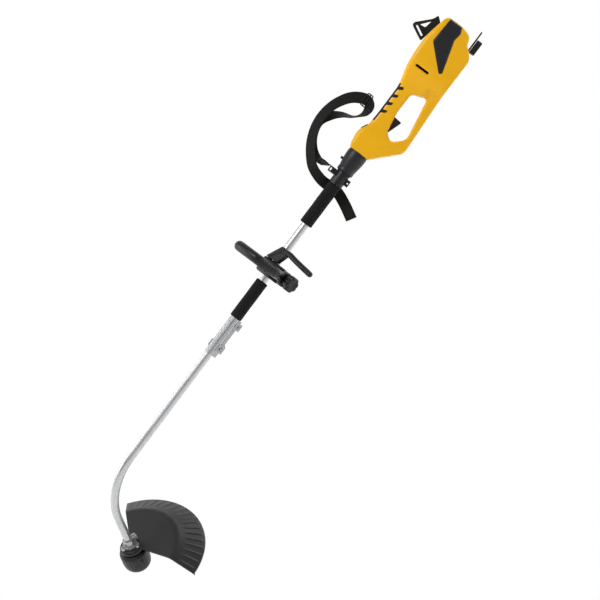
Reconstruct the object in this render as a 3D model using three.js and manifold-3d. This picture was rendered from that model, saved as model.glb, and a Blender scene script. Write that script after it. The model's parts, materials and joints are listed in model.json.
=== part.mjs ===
// Corded string trimmer with the motor at the top of a two-piece shaft: rear handle housing,
// loop handle with barrier bar, shoulder strap, curved lower tube, guard and bump-feed head.
// Millimetres, +Z up. The origin is the middle of the strap clamp, on the shaft's axis, where
// the tool is carried. X points the way the motor end leans and Y to the tool's right.
//
// The shaft's own frame has z along the shaft, towards the motor, x to the tool's underside
// and y to its right. Side outlines are written as [distance along, height above the axis].

import * as THREE from 'three';
import { mergeVertices } from 'three/addons/utils/BufferGeometryUtils.js';
import Module from 'manifold-3d';

const wasm = await Module();
wasm.setup();

// ---------------------------------------------------------------- driving dimensions

const gap = 0.3; // clearance between pieces that touch
const shaftLean = 36.87; // shaft away from upright, degrees
const frontRoll = 46.5; // lower tube and loop handle, turned round the shaft, degrees
const connectorRoll = 20; // shaft connector, turned round the shaft, degrees

const tube = { radius: 11, wall: 1.5, seat: 36 }; // seat: depth inside the housing
const driveRadius = 4; // drive shaft inside the tubes
const boreRadius = 6; // room round the drive shaft

const strapClamp = { length: 38, radius: 19, earHeight: 39, earWidth: 32, slot: 4.5 };
const sleeve = { length: 62, frontRadius: 23.5, rearRadius: 28, lip: 4 };
const upperGrip = { length: 127, radius: 17.5 };
const lowerGrip = { length: 118, radius: 16.5 };
const gripSpacing = 186; // bare tube between the two foam grips, where the loop handle sits

const handle = {
  drop: 148, // below the upper grip's lower end
  clampLength: 44, clampHalfWidth: 29, boltDrop: 18, earThickness: 20,
  reach: 110, halfSpan: 56, section: 14, boltRadius: 4,
};
const barrier = { set: 46, length: 138, radius: 8.3, rake: 12, height: 16 };
const knob = { radius: 22, length: 30, hub: 12 };

const connector = { length: 115, radius: 13.2, ribReach: 28, ribHalf: 6, boltDrop: 89 };
const lower = { straight: 336, bendRadius: 173, bendAngle: 65, end: 110 };

const flange = { radius: 20, lobe: 8, lobeCircle: 20, thickness: 8, hubRadius: 15, hub: 26 };
const guard = {
  plateRadius: 127, rimRadius: 195, drop: 40, wall: 3.5, from: -68, to: 63,
  endLip: 4.5, ribIn: 11, ribHalf: 1.8, // ribIn: the blade's rib, degrees in from the left end
};
const head = {
  baseRadius: 31, baseHeight: 12, cupRadius: 39, cupHeight: 62, cupWall: 3,
  buttonRadius: 22, buttonProud: 8, buttonTravel: 6,
};

const strap = { width: 30, thickness: 2.2 };

// ---------------------------------------------------------------- finishes

const finishes = {
  yellow: { color: 0xf2b30d, roughness: 0.38, metalness: 0 },
  black: { color: 0x2b2b2d, roughness: 0.6, metalness: 0 },
  panel: { color: 0x3d3b43, roughness: 0.5, metalness: 0 },
  rubber: { color: 0x1c1c1c, roughness: 0.85, metalness: 0 },
  foam: { color: 0x1a1a1a, roughness: 0.95, metalness: 0 },
  webbing: { color: 0x22221f, roughness: 0.9, metalness: 0 },
  aluminium: { color: 0xc9cbcd, roughness: 0.35, metalness: 1 },
  steel: { color: 0x9a9da0, roughness: 0.3, metalness: 1 },
  copper: { color: 0xb5673a, roughness: 0.35, metalness: 1 },
  carbon: { color: 0x2e2e30, roughness: 0.7, metalness: 0.2 },
  line: { color: 0xd86a1c, roughness: 0.5, metalness: 0 },
};

// ---------------------------------------------------------------- shape helpers

// Signed volume of a merged triangle mesh
function volume(position, index) {
  const [a, b, c] = [new THREE.Vector3(), new THREE.Vector3(), new THREE.Vector3()];
  let sum = 0;
  for (let i = 0; i < index.length; i += 3) {
    a.fromBufferAttribute(position, index[i]);
    b.fromBufferAttribute(position, index[i + 1]);
    c.fromBufferAttribute(position, index[i + 2]);
    sum += a.dot(b.cross(c)) / 6;
  }
  return sum;
}

// One merged closed mesh, faces outwards, without the slivers that merging leaves
function closed(geometry) {
  geometry.deleteAttribute('normal');
  geometry.deleteAttribute('uv');
  const merged = mergeVertices(geometry, 1e-3);
  const all = merged.index.array;
  const kept = [];
  for (let i = 0; i < all.length; i += 3) {
    const [p, q, r] = [all[i], all[i + 1], all[i + 2]];
    if (p !== q && q !== r && r !== p) kept.push(p, q, r);
  }
  if (volume(merged.attributes.position, kept) < 0) kept.reverse();
  merged.setIndex(kept);
  return merged;
}

function toSolid(geometry) {
  const whole = closed(geometry);
  return new wasm.Manifold(new wasm.Mesh({
    numProp: 3,
    vertProperties: new Float32Array(whole.attributes.position.array),
    triVerts: new Uint32Array(whole.index.array),
  }));
}

function toGeometry(solid) {
  const { vertProperties, triVerts } = solid.getMesh();
  const geometry = new THREE.BufferGeometry();
  geometry.setAttribute('position', new THREE.BufferAttribute(vertProperties, 3));
  geometry.setIndex(new THREE.BufferAttribute(triVerts, 1));
  return geometry;
}

const join = (...shapes) => toGeometry(shapes.map(toSolid).reduce((a, b) => a.add(b)));
const cut = (body, ...tools) =>
  toGeometry(tools.map(toSolid).reduce((a, b) => a.subtract(b), toSolid(body)));
const common = (...shapes) =>
  toGeometry(shapes.map(toSolid).reduce((a, b) => a.intersect(b)));

function rod(radius, low, high, sides = 16) {
  return new THREE.CylinderGeometry(radius, radius, high - low, sides)
    .rotateX(Math.PI / 2)
    .translate(0, 0, (low + high) / 2);
}

// Rod across the tool, along y
const crossRod = (radius, low, high, x, z, sides = 12) =>
  rod(radius, low, high, sides).rotateX(-Math.PI / 2).translate(x, 0, z);

function block(xLow, xHigh, yLow, yHigh, zLow, zHigh) {
  return new THREE.BoxGeometry(xHigh - xLow, yHigh - yLow, zHigh - zLow)
    .translate((xLow + xHigh) / 2, (yLow + yHigh) / 2, (zLow + zHigh) / 2);
}

// Body of revolution about z from [radius, height] points, closed through its own start
function turned(points, sides = 20) {
  const profile = [...points, points[0]].map(([r, z]) => new THREE.Vector2(r, z));
  return new THREE.LatheGeometry(profile, sides).rotateX(Math.PI / 2);
}

const ring = (outer, inner, low, high, sides = 16) =>
  turned([[inner, low], [outer, low], [outer, high], [inner, high]], sides);

// Outline with its corners rounded: points are [a, b, corner radius]
function rounded(points, steps = 2) {
  const outline = [];
  points.forEach(([a, b, radius = 0], i) => {
    const here = new THREE.Vector2(a, b);
    const ends = [points.at(i - 1), points[(i + 1) % points.length]].map(([p, q]) => {
      const away = new THREE.Vector2(p, q).sub(here);
      return here.clone().addScaledVector(away, Math.min(radius / away.length(), 0.45));
    });
    if (!radius) return outline.push([a, b]);
    const curve = new THREE.QuadraticBezierCurve(ends[0], here, ends[1]);
    for (const point of curve.getPoints(steps)) outline.push([point.x, point.y]);
  });
  return outline;
}

// Slab across the tool, between two y values, from a side outline
function slab(outline, yLow, yHigh) {
  const shape = new THREE.Shape(outline.map(([along, up]) => new THREE.Vector2(-up, along)));
  return new THREE.ExtrudeGeometry(shape, { depth: yHigh - yLow, bevelEnabled: false })
    .rotateX(Math.PI / 2)
    .translate(0, yHigh, 0);
}

// Slab through the tool, top to underside, from [distance along, y] points
function planSlab(outline, xLow, xHigh) {
  const shape = new THREE.Shape(outline.map(([along, y]) => new THREE.Vector2(y, along)));
  const axes = new THREE.Matrix4().set(0, 0, 1, 0, 1, 0, 0, 0, 0, 1, 0, 0, 0, 0, 0, 1);
  return new THREE.ExtrudeGeometry(shape, { depth: xHigh - xLow, bevelEnabled: false })
    .applyMatrix4(axes)
    .translate(xLow, 0, 0);
}

function circle(radius, sides) {
  const points = [];
  for (let i = 0; i < sides; i++) {
    const turn = (2 * Math.PI * i) / sides;
    points.push(new THREE.Vector2(radius * Math.cos(turn), radius * Math.sin(turn)));
  }
  return points;
}

// Tube or bar along a curve; an inner radius makes it hollow
function swept(curve, steps, radius, inner = 0, sides = 10) {
  const section = new THREE.Shape(circle(radius, sides));
  if (inner) section.holes.push(new THREE.Path(circle(inner, sides).reverse()));
  return new THREE.ExtrudeGeometry(section, { extrudePath: curve, steps, bevelEnabled: false });
}

const path = (points, tension = 0.5) =>
  new THREE.CatmullRomCurve3(points.map((p) => new THREE.Vector3(...p)), false, 'catmullrom', tension);

// Flat band along a centre line, each station [x, y, z, width direction x, y, z]
function band(stations, width, thickness, steps) {
  const centre = path(stations.map((s) => s.slice(0, 3)));
  const across = path(stations.map((s) => s.slice(3)));
  const vertices = [];
  const faces = [];
  for (let i = 0; i <= steps; i++) {
    const middle = centre.getPoint(i / steps);
    const along = centre.getTangent(i / steps);
    const side = across.getPoint(i / steps);
    side.addScaledVector(along, -side.dot(along)).setLength(width / 2);
    const out = new THREE.Vector3().crossVectors(along, side).setLength(thickness / 2);
    for (const [s, o] of [[1, 1], [-1, 1], [-1, -1], [1, -1]]) {
      vertices.push(...middle.clone().addScaledVector(side, s).addScaledVector(out, o));
    }
  }
  for (let i = 0; i < steps; i++) {
    for (let j = 0; j < 4; j++) {
      const [p, q] = [4 * i + j, 4 * i + ((j + 1) % 4)];
      faces.push(p, q, q + 4, p, q + 4, p + 4);
    }
  }
  const last = 4 * steps;
  faces.push(0, 2, 1, 0, 3, 2, last, last + 1, last + 2, last, last + 2, last + 3);
  const geometry = new THREE.BufferGeometry();
  geometry.setAttribute('position', new THREE.Float32BufferAttribute(vertices, 3));
  geometry.setIndex(faces);
  return geometry;
}

// ---------------------------------------------------------------- frames of the assembly

const trimmer = new THREE.Group();
const shaft = new THREE.Group();
shaft.rotation.y = THREE.MathUtils.degToRad(shaftLean);
trimmer.add(shaft);

function frameIn(parent, { z = 0, turn = 0 } = {}) {
  const group = new THREE.Group();
  group.position.z = z;
  group.rotation.z = THREE.MathUtils.degToRad(turn);
  parent.add(group);
  return group;
}

function part(parent, name, geometry, finish) {
  const whole = closed(geometry);
  whole.computeVertexNormals();
  const mesh = new THREE.Mesh(whole, new THREE.MeshStandardMaterial(finishes[finish]));
  mesh.name = name;
  parent.add(mesh);
  return mesh;
}

// Stations along the shaft
const sleeveFront = strapClamp.length / 2 + 2;
const bodyFront = sleeveFront + sleeve.length + gap;
const upperGripTop = -strapClamp.length / 2 - gap;
const upperGripEnd = upperGripTop - upperGrip.length;
const lowerGripTop = upperGripEnd - gripSpacing;
const lowerGripEnd = lowerGripTop - lowerGrip.length;
const connectorTop = lowerGripEnd - gap;
const connectorEnd = connectorTop - connector.length;
const tubesMeet = connectorTop - connector.length * 0.48;
const handleMiddle = upperGripEnd - handle.drop;
const bendStart = connectorEnd - lower.straight;

// ---------------------------------------------------------------- motor housing

const housing = {
  reach: 423, // housing length along the shaft
  motorHalfWidth: 47, gripHalfWidth: 19, noseHalfWidth: 28, barHalfWidth: 14,
  top: 43, bottom: 87,
};
const motor = {
  bearing: 252, fan: 267, fanRadius: 33, stator: 309, statorLength: 54, statorRadius: 36,
  armatureRadius: 22, commutator: 352, rearBearing: 380, end: 392,
};
const coupler = { from: 216, to: 242, radius: 8 };
const body = frameIn(shaft, { z: bodyFront });

const sideOutline = rounded([
  [0, 27.5, 3], [11, 33, 8], [42, 38, 10], [57, 34, 6], [71, 25, 8], [108, 22.5, 12],
  [204, 22.5, 12], [259, 38.5, 20], [308, 42.5, 20], [348, housing.top, 20], [415, 29, 12],
  [housing.reach, 19, 6], [housing.reach, -21, 12], [413, -51, 14], [389, -58, 8],
  [371, -80, 8], [357, -housing.bottom, 8], [239, -86, 30], [77, -95, 8], [66, -91, 6],
  [0, -28, 3],
]);
const windowOutline = rounded([
  [206, -18, 10], [221, -58, 12], [102, -78.5, 14], [72, -48.5, 14], [88, -27, 3],
  [145, -16.5, 10],
]);
const halfWidths = [
  [0, housing.noseHalfWidth - 1], [40, housing.noseHalfWidth + 1], [62, housing.noseHalfWidth],
  [84, housing.gripHalfWidth + 2], [110, housing.gripHalfWidth], [200, housing.gripHalfWidth],
  [225, 25], [262, 42], [288, housing.motorHalfWidth], [372, housing.motorHalfWidth],
  [405, 42], [housing.reach, 31],
];

// Plan outline grown or shrunk by a margin on both sides
function plan(margin) {
  const right = halfWidths.map(([along, half]) => [along, half + margin]);
  const left = halfWidths.map(([along, half]) => [along, -half - margin]).reverse();
  return [...right, ...left];
}

const wide = 2 * housing.motorHalfWidth;
const outerBody = (margin) =>
  common(slab(sideOutline, -wide, wide), planSlab(plan(margin), -wide, wide));

// Black cover on each side of the motor
const panelOutline = (grow) => [
  [housing.reach + 1, 19 + grow], [housing.reach + 1, -21.5 - grow], [401, -27 - grow],
  [378, -24 - grow], [291, -50 - grow], [285 - grow, -43], [345 - grow, 20.5 + grow],
];
const panelDepth = 2.5;
const panelProud = 0.8;

function sidePanel(side) {
  const shell = cut(outerBody(panelProud), outerBody(-panelDepth));
  const half = side * wide;
  return common(shell, slab(panelOutline(0), Math.min(0, half), Math.max(0, half)));
}

// Overmoulded grip on the handle's back: a thin spine with four slanted fingers each side
const gripFingers = { first: 117, pitch: 24.5, count: 4, length: 15, lean: 9, width: 8 };
const gripSpine = { from: 92, to: 210, depth: 3 };

function gripRegion(grow) {
  const edge = 22.5;
  const spine = slab([
    [gripSpine.from - grow, edge - gripSpine.depth - grow],
    [gripSpine.to + grow, edge - gripSpine.depth - grow],
    [gripSpine.to + grow, edge + 15], [gripSpine.from - grow, edge + 15],
  ], -wide, wide);
  const fingers = [];
  for (let i = 0; i < gripFingers.count; i++) {
    const start = gripFingers.first + i * gripFingers.pitch;
    const { length, lean, width } = gripFingers;
    const finger = slab([
      [start - grow, edge], [start + width + grow, edge],
      [start + width + lean * 0.6 + grow, edge - length - grow], [start + lean - grow, edge - length - grow],
    ], -wide, wide);
    fingers.push(finger);
  }
  return join(spine, ...fingers);
}
const gripCore = (grow) =>
  slab([[80, -10], [220, -10], [220, 22.5 - gripSpine.depth - grow], [80, 22.5 - gripSpine.depth - grow]],
    -housing.gripHalfWidth + 2.5 + grow, housing.gripHalfWidth - 2.5 - grow);

// Screws through the right half into the left
const housingScrews = [[20, -27], [64, -72], [232, -72]];
const screw = { shank: 1.8, head: 3.6, headHeight: 3, depth: 12 };
const screwHole = ([along, up]) => join(
  crossRod(screw.shank + gap, -screw.depth - gap, screw.depth + 1, -up, along, 10),
  crossRod(screw.head + gap, screw.depth, wide, -up, along, 12),
);

const trigger = { from: 86, to: 132, halfWidth: 8, pivot: [91, -17], pin: 2 };
const switchBox = { from: 138, to: 162, low: -14, high: -6.5, halfWidth: 5 };
const lockButton = { from: 58, to: 76, halfWidth: 7, bottom: 20, top: 36.5 };
const inlet = { radius: 12, depth: 24, wall: 2.5, height: -1 };
const hookPlate = { from: 352, to: 445, low: -71, high: -66, halfWidth: 14 };

const bearing = { radius: 12, half: 5 };
const rearBearing = { radius: 11, half: 4.5 };
const rooms = [
  rod(tube.radius + gap, -1, tube.seat + gap),
  rod(boreRadius, tube.seat - 1, motor.end + 2, 16),
  rod(coupler.radius + 1, coupler.from - 3, coupler.to + 3, 16),
  rod(bearing.radius + gap, motor.bearing - bearing.half - gap, motor.bearing + bearing.half + gap),
  rod(motor.fanRadius + 1.5, motor.fan - 7, motor.fan + 15),
  rod(motor.statorRadius + gap, motor.fan + 13, motor.stator + motor.statorLength / 2 + gap, 32),
  rod(27, motor.stator, motor.rearBearing - rearBearing.half - 2),
  rod(rearBearing.radius + gap, motor.rearBearing - rearBearing.half - gap,
    motor.rearBearing + rearBearing.half + gap),
  rod(inlet.radius + gap, housing.reach - inlet.depth - gap, housing.reach + 5)
    .translate(-inlet.height, 0, 0),
  block(8.5, 40, -trigger.halfWidth - gap, trigger.halfWidth + gap, trigger.from - 4, trigger.to + 2),
  crossRod(trigger.pin + gap, -13, 13, -trigger.pivot[1], trigger.pivot[0], 12),
  block(-switchBox.high - gap, -switchBox.low + gap, -switchBox.halfWidth - gap,
    switchBox.halfWidth + gap, switchBox.from - gap, switchBox.to + gap),
  block(-40, -lockButton.bottom + 4, -lockButton.halfWidth - gap, lockButton.halfWidth + gap,
    lockButton.from - gap, lockButton.to + gap),
  block(-hookPlate.high - gap, -hookPlate.low + gap, -hookPlate.halfWidth - gap,
    hookPlate.halfWidth + gap, hookPlate.from - gap, housing.reach + 10),
];

// Cooling slot through both side walls, in line with the fan
const vent = { at: 270, width: 6.5, low: -22, high: 18.5 };
const ventCut = block(-vent.high, -vent.low, -wide, wide, vent.at - vent.width / 2, vent.at + vent.width / 2);

// The guard bar under the handle is narrower than the grip
const barRelief = (side) => {
  const reach = [side * housing.barHalfWidth, side * wide].sort((a, b) => a - b);
  return slab(rounded([[90, -52, 4], [216, -52, 4], [232, -74, 8], [216, -100, 4], [84, -100, 4]]), ...reach);
};

// Hollow of the motor end, with webs left standing at the bearings and the stator
const hollowOutline = [
  [262, -81], [352, -81], [366, -76], [382, -53], [404, -44], [412, -18], [412, 14], [403, 25],
  [346, 37], [310, 37], [262, 31],
];
const webs = [[286, 291], [327, 332], [372, 388]];
const motorHollow = cut(
  common(slab(hollowOutline, -wide, wide), planSlab(plan(-5.5), -wide, wide)),
  ...webs.map(([low, high]) => block(-60, 100, -wide, wide, low, high)),
);

const wholeHousing = cut(
  outerBody(0), motorHollow,
  slab(windowOutline, -wide, wide),
  barRelief(-1), barRelief(1),
  cut(gripRegion(gap), gripCore(gap)),
  cut(slab(panelOutline(gap), -wide, wide), outerBody(-panelDepth - gap)),
  ...rooms, ventCut, ...housingScrews.map(screwHole),
);
const halfSpace = (side) => (side < 0
  ? block(-200, 200, -200, -gap / 2, -50, 600)
  : block(-200, 200, gap / 2, 200, -50, 600));
part(body, 'housing_left', common(wholeHousing, halfSpace(-1)), 'yellow');
part(body, 'housing_right', common(wholeHousing, halfSpace(1)), 'yellow');
part(body, 'side_panel_left', sidePanel(-1), 'panel');
part(body, 'side_panel_right', sidePanel(1), 'panel');
part(body, 'grip_inlay', common(outerBody(0), cut(gripRegion(0), gripCore(0))), 'rubber');

housingScrews.forEach(([along, up], i) => {
  const { shank, head: headRadius, headHeight, depth } = screw;
  const shape = join(
    crossRod(shank, -depth, depth + gap + 0.1, -up, along, 10),
    crossRod(headRadius, depth + gap, depth + gap + headHeight, -up, along, 12),
  );
  part(body, `housing_screw_${i + 1}`, shape, 'steel');
});

// ---------------------------------------------------------------- controls

function triggerShape() {
  const blade = slab(rounded([
    [trigger.from, -13, 4], [96, -12.5, 2], [trigger.to, -17, 2], [130, -42, 3], [88, -28, 3],
  ], 2), -trigger.halfWidth, trigger.halfWidth);
  return cut(blade, crossRod(trigger.pin + gap, -20, 20, -trigger.pivot[1], trigger.pivot[0], 12));
}
part(body, 'trigger', triggerShape(), 'panel');
part(body, 'trigger_pin',
  crossRod(trigger.pin, -12.7, 12.7, -trigger.pivot[1], trigger.pivot[0], 12), 'steel');
part(body, 'switch', block(-switchBox.high, -switchBox.low, -switchBox.halfWidth,
  switchBox.halfWidth, switchBox.from, switchBox.to), 'black');
part(body, 'lock_off_button', slab(rounded([
  [lockButton.from, lockButton.bottom], [lockButton.to, lockButton.bottom],
  [lockButton.to, 27, 2], [lockButton.from + 9, 31.5, 2], [lockButton.from, lockButton.top, 2],
], 2), -lockButton.halfWidth, lockButton.halfWidth), 'rubber');

// ---------------------------------------------------------------- motor and drive

const shaftHole = driveRadius + gap;
part(body, 'front_bearing',
  ring(bearing.radius, shaftHole, motor.bearing - bearing.half, motor.bearing + bearing.half, 20), 'steel');
part(body, 'rear_bearing', ring(rearBearing.radius, shaftHole,
  motor.rearBearing - rearBearing.half, motor.rearBearing + rearBearing.half, 20), 'steel');

function fanShape() {
  const low = motor.fan - 4;
  const blades = [];
  for (let i = 0; i < 7; i++) {
    const blade = block(10, motor.fanRadius, -0.9, 0.9, low + 1, motor.fan + 8);
    blades.push(blade.rotateZ((2 * Math.PI * i) / 7));
  }
  return join(ring(motor.fanRadius, shaftHole, low, low + 2.5), ring(11, shaftHole, low, motor.fan + 8),
    ...blades);
}
part(body, 'cooling_fan', fanShape(), 'black');

const statorLow = motor.stator - motor.statorLength / 2;
const statorHigh = motor.stator + motor.statorLength / 2;
part(body, 'stator',
  ring(motor.statorRadius, motor.armatureRadius + 1, statorLow, statorHigh, 32), 'steel');
const shaftsMeet = (coupler.from + coupler.to) / 2;
part(body, 'armature', join(
  rod(driveRadius, shaftsMeet + gap, motor.end, 12),
  rod(motor.armatureRadius, statorLow + 2, statorHigh - 2, 24),
  rod(13, motor.commutator - 8, motor.commutator + 8, 16),
), 'copper');
for (const [side, name] of [[-1, 'brush_left'], [1, 'brush_right']]) {
  const brush = block(-3.5, 3.5, 13.5, 25.8, motor.commutator - 5, motor.commutator + 5);
  part(body, name, side > 0 ? brush : brush.rotateZ(Math.PI), 'carbon');
}
part(body, 'drive_coupler', ring(coupler.radius, shaftHole, coupler.from, coupler.to, 16), 'steel');
part(shaft, 'upper_drive_shaft', rod(driveRadius, tubesMeet + 1, bodyFront + shaftsMeet, 12), 'steel');
part(shaft, 'shaft_coupler',
  ring(tube.radius - tube.wall - 1, shaftHole, tubesMeet - 15, tubesMeet + 15, 16),
  'steel');

// Mains inlet in the rear face: a cup with two pins
const pin = (side) =>
  rod(2, housing.reach - inlet.depth + 1, housing.reach - 6, 8).translate(0, 4.5 * side, 0);
part(body, 'power_inlet', join(
  cut(rod(inlet.radius, housing.reach - inlet.depth, housing.reach + 1),
    rod(inlet.radius - inlet.wall, housing.reach - inlet.depth + inlet.wall, housing.reach + 5)),
  pin(-1), pin(1),
).translate(-inlet.height, 0, 0), 'black');

// ---------------------------------------------------------------- strap bracket, cord hook

function strapBracketShape() {
  const frame = slab(rounded([
    [331, 47, 5], [352, 89, 7], [360, 89, 5], [397, 54, 5], [411, 49, 2], [409, 45, 2], [400, 34, 2],
    [348, 43.5],
  ]), -5, 5);
  const slot = slab(rounded([[341, 53, 2], [346, 50.5, 2], [360, 78, 2], [355.5, 81, 2]]), -6, 6);
  const eye = slab(rounded([[364, 74, 2], [366, 58, 3], [389, 54, 2]]), -6, 6);
  return cut(frame, slot, eye);
}
part(body, 'strap_bracket', cut(strapBracketShape(), outerBody(gap).translate(-gap, 0, 0)), 'black');
part(body, 'cord_hook', slab(rounded([
  [hookPlate.from, hookPlate.low], [hookPlate.to - 3, hookPlate.low + 1, 2],
  [hookPlate.to, hookPlate.high, 2],
  [hookPlate.from, hookPlate.high],
], 2), -hookPlate.halfWidth, hookPlate.halfWidth), 'black');
const cordClamp = { from: 382, to: 421, low: -87, halfWidth: 11 };
part(body, 'cord_clamp', slab(rounded([
  [cordClamp.from, cordClamp.low, 3], [cordClamp.to, cordClamp.low, 3],
  [cordClamp.to, hookPlate.low - gap], [cordClamp.from, hookPlate.low - gap],
], 2), -cordClamp.halfWidth, cordClamp.halfWidth), 'panel');

// ---------------------------------------------------------------- upper shaft

const tubeInner = tube.radius - tube.wall;
const onTube = tube.radius + gap;
part(shaft, 'upper_tube',
  ring(tube.radius, tubeInner, tubesMeet + gap, bodyFront + tube.seat, 24), 'aluminium');

const gripShape = (radius, low, high) => turned([
  [onTube, low], [radius - 2, low], [radius, low + 2], [radius, high - 2], [radius - 2, high], [onTube, high],
], 20);
part(shaft, 'upper_grip', gripShape(upperGrip.radius, upperGripEnd, upperGripTop), 'foam');
part(shaft, 'lower_grip', gripShape(lowerGrip.radius, lowerGripEnd, lowerGripTop), 'foam');

function sleeveShape() {
  const { frontRadius: front, rearRadius: rear, lip } = sleeve;
  const top = sleeveFront + sleeve.length;
  const coneShape = turned([
    [onTube, sleeveFront], [front - 2, sleeveFront], [front, sleeveFront + 2], [front, sleeveFront + 12],
    [rear, top - 20], [rear, top], [onTube, top],
  ], 24);
  return join(coneShape, block(-rear - lip, -20, -6, 6, top - 37, top - 30));
}
part(shaft, 'coupling_sleeve', sleeveShape(), 'panel');

// Strap clamp: a band round the tube with an eye on top and a screw tab below
const clampHalf = strapClamp.length / 2;
function strapClampShape() {
  const { radius, earHeight, earWidth } = strapClamp;
  const eye = block(-earHeight, -12, -earWidth / 2, earWidth / 2, 1, clampHalf - 3);
  const tab = block(12, 29, -7, 7, -6, 12);
  const slot = block(-earHeight + 3, -earHeight + 3 + strapClamp.slot, -20, 20, 4, clampHalf - 6);
  return cut(join(ring(radius, onTube, -clampHalf, clampHalf, 24), eye, tab), rod(onTube, -50, 50, 24), slot,
    block(onTube - 2, 32, -1, 1, -clampHalf - 1, clampHalf + 1),
    crossRod(2.3, -10, 10, 24, 3, 12));
}
part(shaft, 'strap_clamp', strapClampShape(), 'black');

// ---------------------------------------------------------------- shoulder strap

// Centre line as [along, up, y] with the width direction as [along, up, y]: from the eye, up the
// inner run, round the loop, down the outer run, behind the shaft to the free tail
const strapRoute = [
  [16, 41, 2, 0.1, 0, 1], [13, 56, 4, -0.3, 0, 1], [10, 74, 8, -0.6, -0.1, 0.8],
  [20, 100, 10, -0.75, 0.45, 0.57], [48, 122, 9, -0.45, 0.68, 0.57], [86, 132, 8, -0.1, 0.82, 0.57],
  [118, 118, 8, 0.3, 0.75, 0.57], [138, 96, 6, 0.4, 0.4, 0.8], [153, 67, 4, 0.2, 0.1, 1],
  [177, 50, 0, -0.3, 0.6, 0.75], [200, 52, -4, -0.6, 0.6, 0.5], [206, 73, -6, -0.9, -0.1, 0.2],
  [184, 106, -5, -0.6, -0.7, -0.2], [138, 130, -4, -0.1, -0.85, -0.5], [86, 134, -2, 0.25, -0.78, -0.57],
  [34, 117, 0, 0.55, -0.6, -0.57], [-10, 82, 4, 0.75, -0.35, -0.57], [-27, 44, 13, 0.85, -0.1, -0.4],
  [-29, 10, 23, 0.9, 0.05, -0.1], [-29, -16, 24, 0.9, -0.1, 0.1], [-43, -50, 19, 0.85, -0.4, 0.1],
  [-64, -88, 12, 0.8, -0.4, 0.1],
];
const strapStations = strapRoute.map(([along, up, y, dAlong, dUp, dY]) => [-up, y, along, -dUp, dY, dAlong]);
part(shaft, 'shoulder_strap', band(strapStations, strap.width, strap.thickness, 50), 'webbing');

// ---------------------------------------------------------------- loop handle

const front = frameIn(shaft, { z: handleMiddle, turn: frontRoll });
const clampLow = -handle.clampLength / 2;
const clampHigh = handle.clampLength / 2;

function clampUpperShape() {
  const outline = rounded([
    [clampLow, gap / 2], [clampHigh, gap / 2], [clampHigh, 23, 8], [clampLow, 23, 8],
  ]);
  return cut(slab(outline, -handle.clampHalfWidth, handle.clampHalfWidth), rod(onTube, -50, 50, 24));
}
function clampLowerShape() {
  const { clampHalfWidth: half, boltDrop } = handle;
  const outline = rounded([
    [clampLow, -gap / 2], [clampHigh, -gap / 2], [clampHigh, -boltDrop - 6, 10],
    [clampHigh - 13, -boltDrop - 13, 8], [clampLow + 13, -boltDrop - 13, 8], [clampLow, -boltDrop - 6, 10],
  ]);
  return cut(slab(outline, -half, half), rod(onTube, -50, 50, 24),
    crossRod(handle.boltRadius + gap, -50, 50, boltDrop, 0, 12));
}
part(front, 'handle_clamp_upper', clampUpperShape(), 'black');
part(front, 'handle_clamp_lower', clampLowerShape(), 'black');

const earLow = handle.clampHalfWidth + gap;
const earHigh = earLow + handle.earThickness;
function loopHandleShape() {
  const { reach, halfSpan, boltDrop, section } = handle;
  const leg = (earLow + earHigh) / 2;
  const up = [
    [-leg, -boltDrop - 2], [-halfSpan + 15, 12], [-halfSpan, 44], [-halfSpan + 12, reach - 12],
    [-halfSpan + 33, reach],
  ];
  const points = [...up, ...up.map(([y, height]) => [-y, height]).reverse()];
  const loop = swept(path(points.map(([y, height]) => [-height, y, 0])), 26, section, 0, 10);
  const ends = (side, from, to) => [Math.min(side * from, side * to), Math.max(side * from, side * to)];
  const ear = (side) => crossRod(clampHigh - 1, ...ends(side, earLow, earHigh), boltDrop, 0, 24);
  const face = (side) => crossRod(knob.radius + 3, ...ends(side, earHigh, 90), boltDrop, 0, 24);
  const inner = block(-26, 60, -earLow, earLow, -40, 40);
  const hole = crossRod(handle.boltRadius + gap, -90, 90, boltDrop, 0, 12);
  return cut(join(loop, ear(-1), ear(1)), inner, hole, face(-1), face(1));
}
part(front, 'loop_handle', loopHandleShape(), 'black');

const knobAt = earHigh + gap;
part(front, 'handle_bolt', join(
  crossRod(handle.boltRadius, -knobAt - knob.length + 6, earHigh + 5, handle.boltDrop, 0, 12),
  crossRod(7, earHigh + gap, earHigh + 5, handle.boltDrop, 0, 6),
), 'steel');

// Star knob on the y axis from y = 0 to its length, bored blind for the bolt
function knobShape(boltReach) {
  const grips = [];
  for (let i = 0; i < 8; i++) {
    const turn = (2 * Math.PI * i) / 8;
    grips.push(crossRod(3.4, knob.hub, knob.length + 2, (knob.radius + 1.4) * Math.cos(turn),
      (knob.radius + 1.4) * Math.sin(turn), 6));
  }
  return cut(
    join(crossRod(knob.hub, 0, knob.length - 2, 0, 0, 16),
      crossRod(knob.radius, knob.hub - 2, knob.length, 0, 0, 24)),
    crossRod(handle.boltRadius + gap, -1, boltReach, 0, 0, 12), ...grips,
  );
}
part(front, 'handle_knob',
  knobShape(knob.length - 5.5).rotateZ(Math.PI).translate(handle.boltDrop, -knobAt, 0), 'black');

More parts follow.
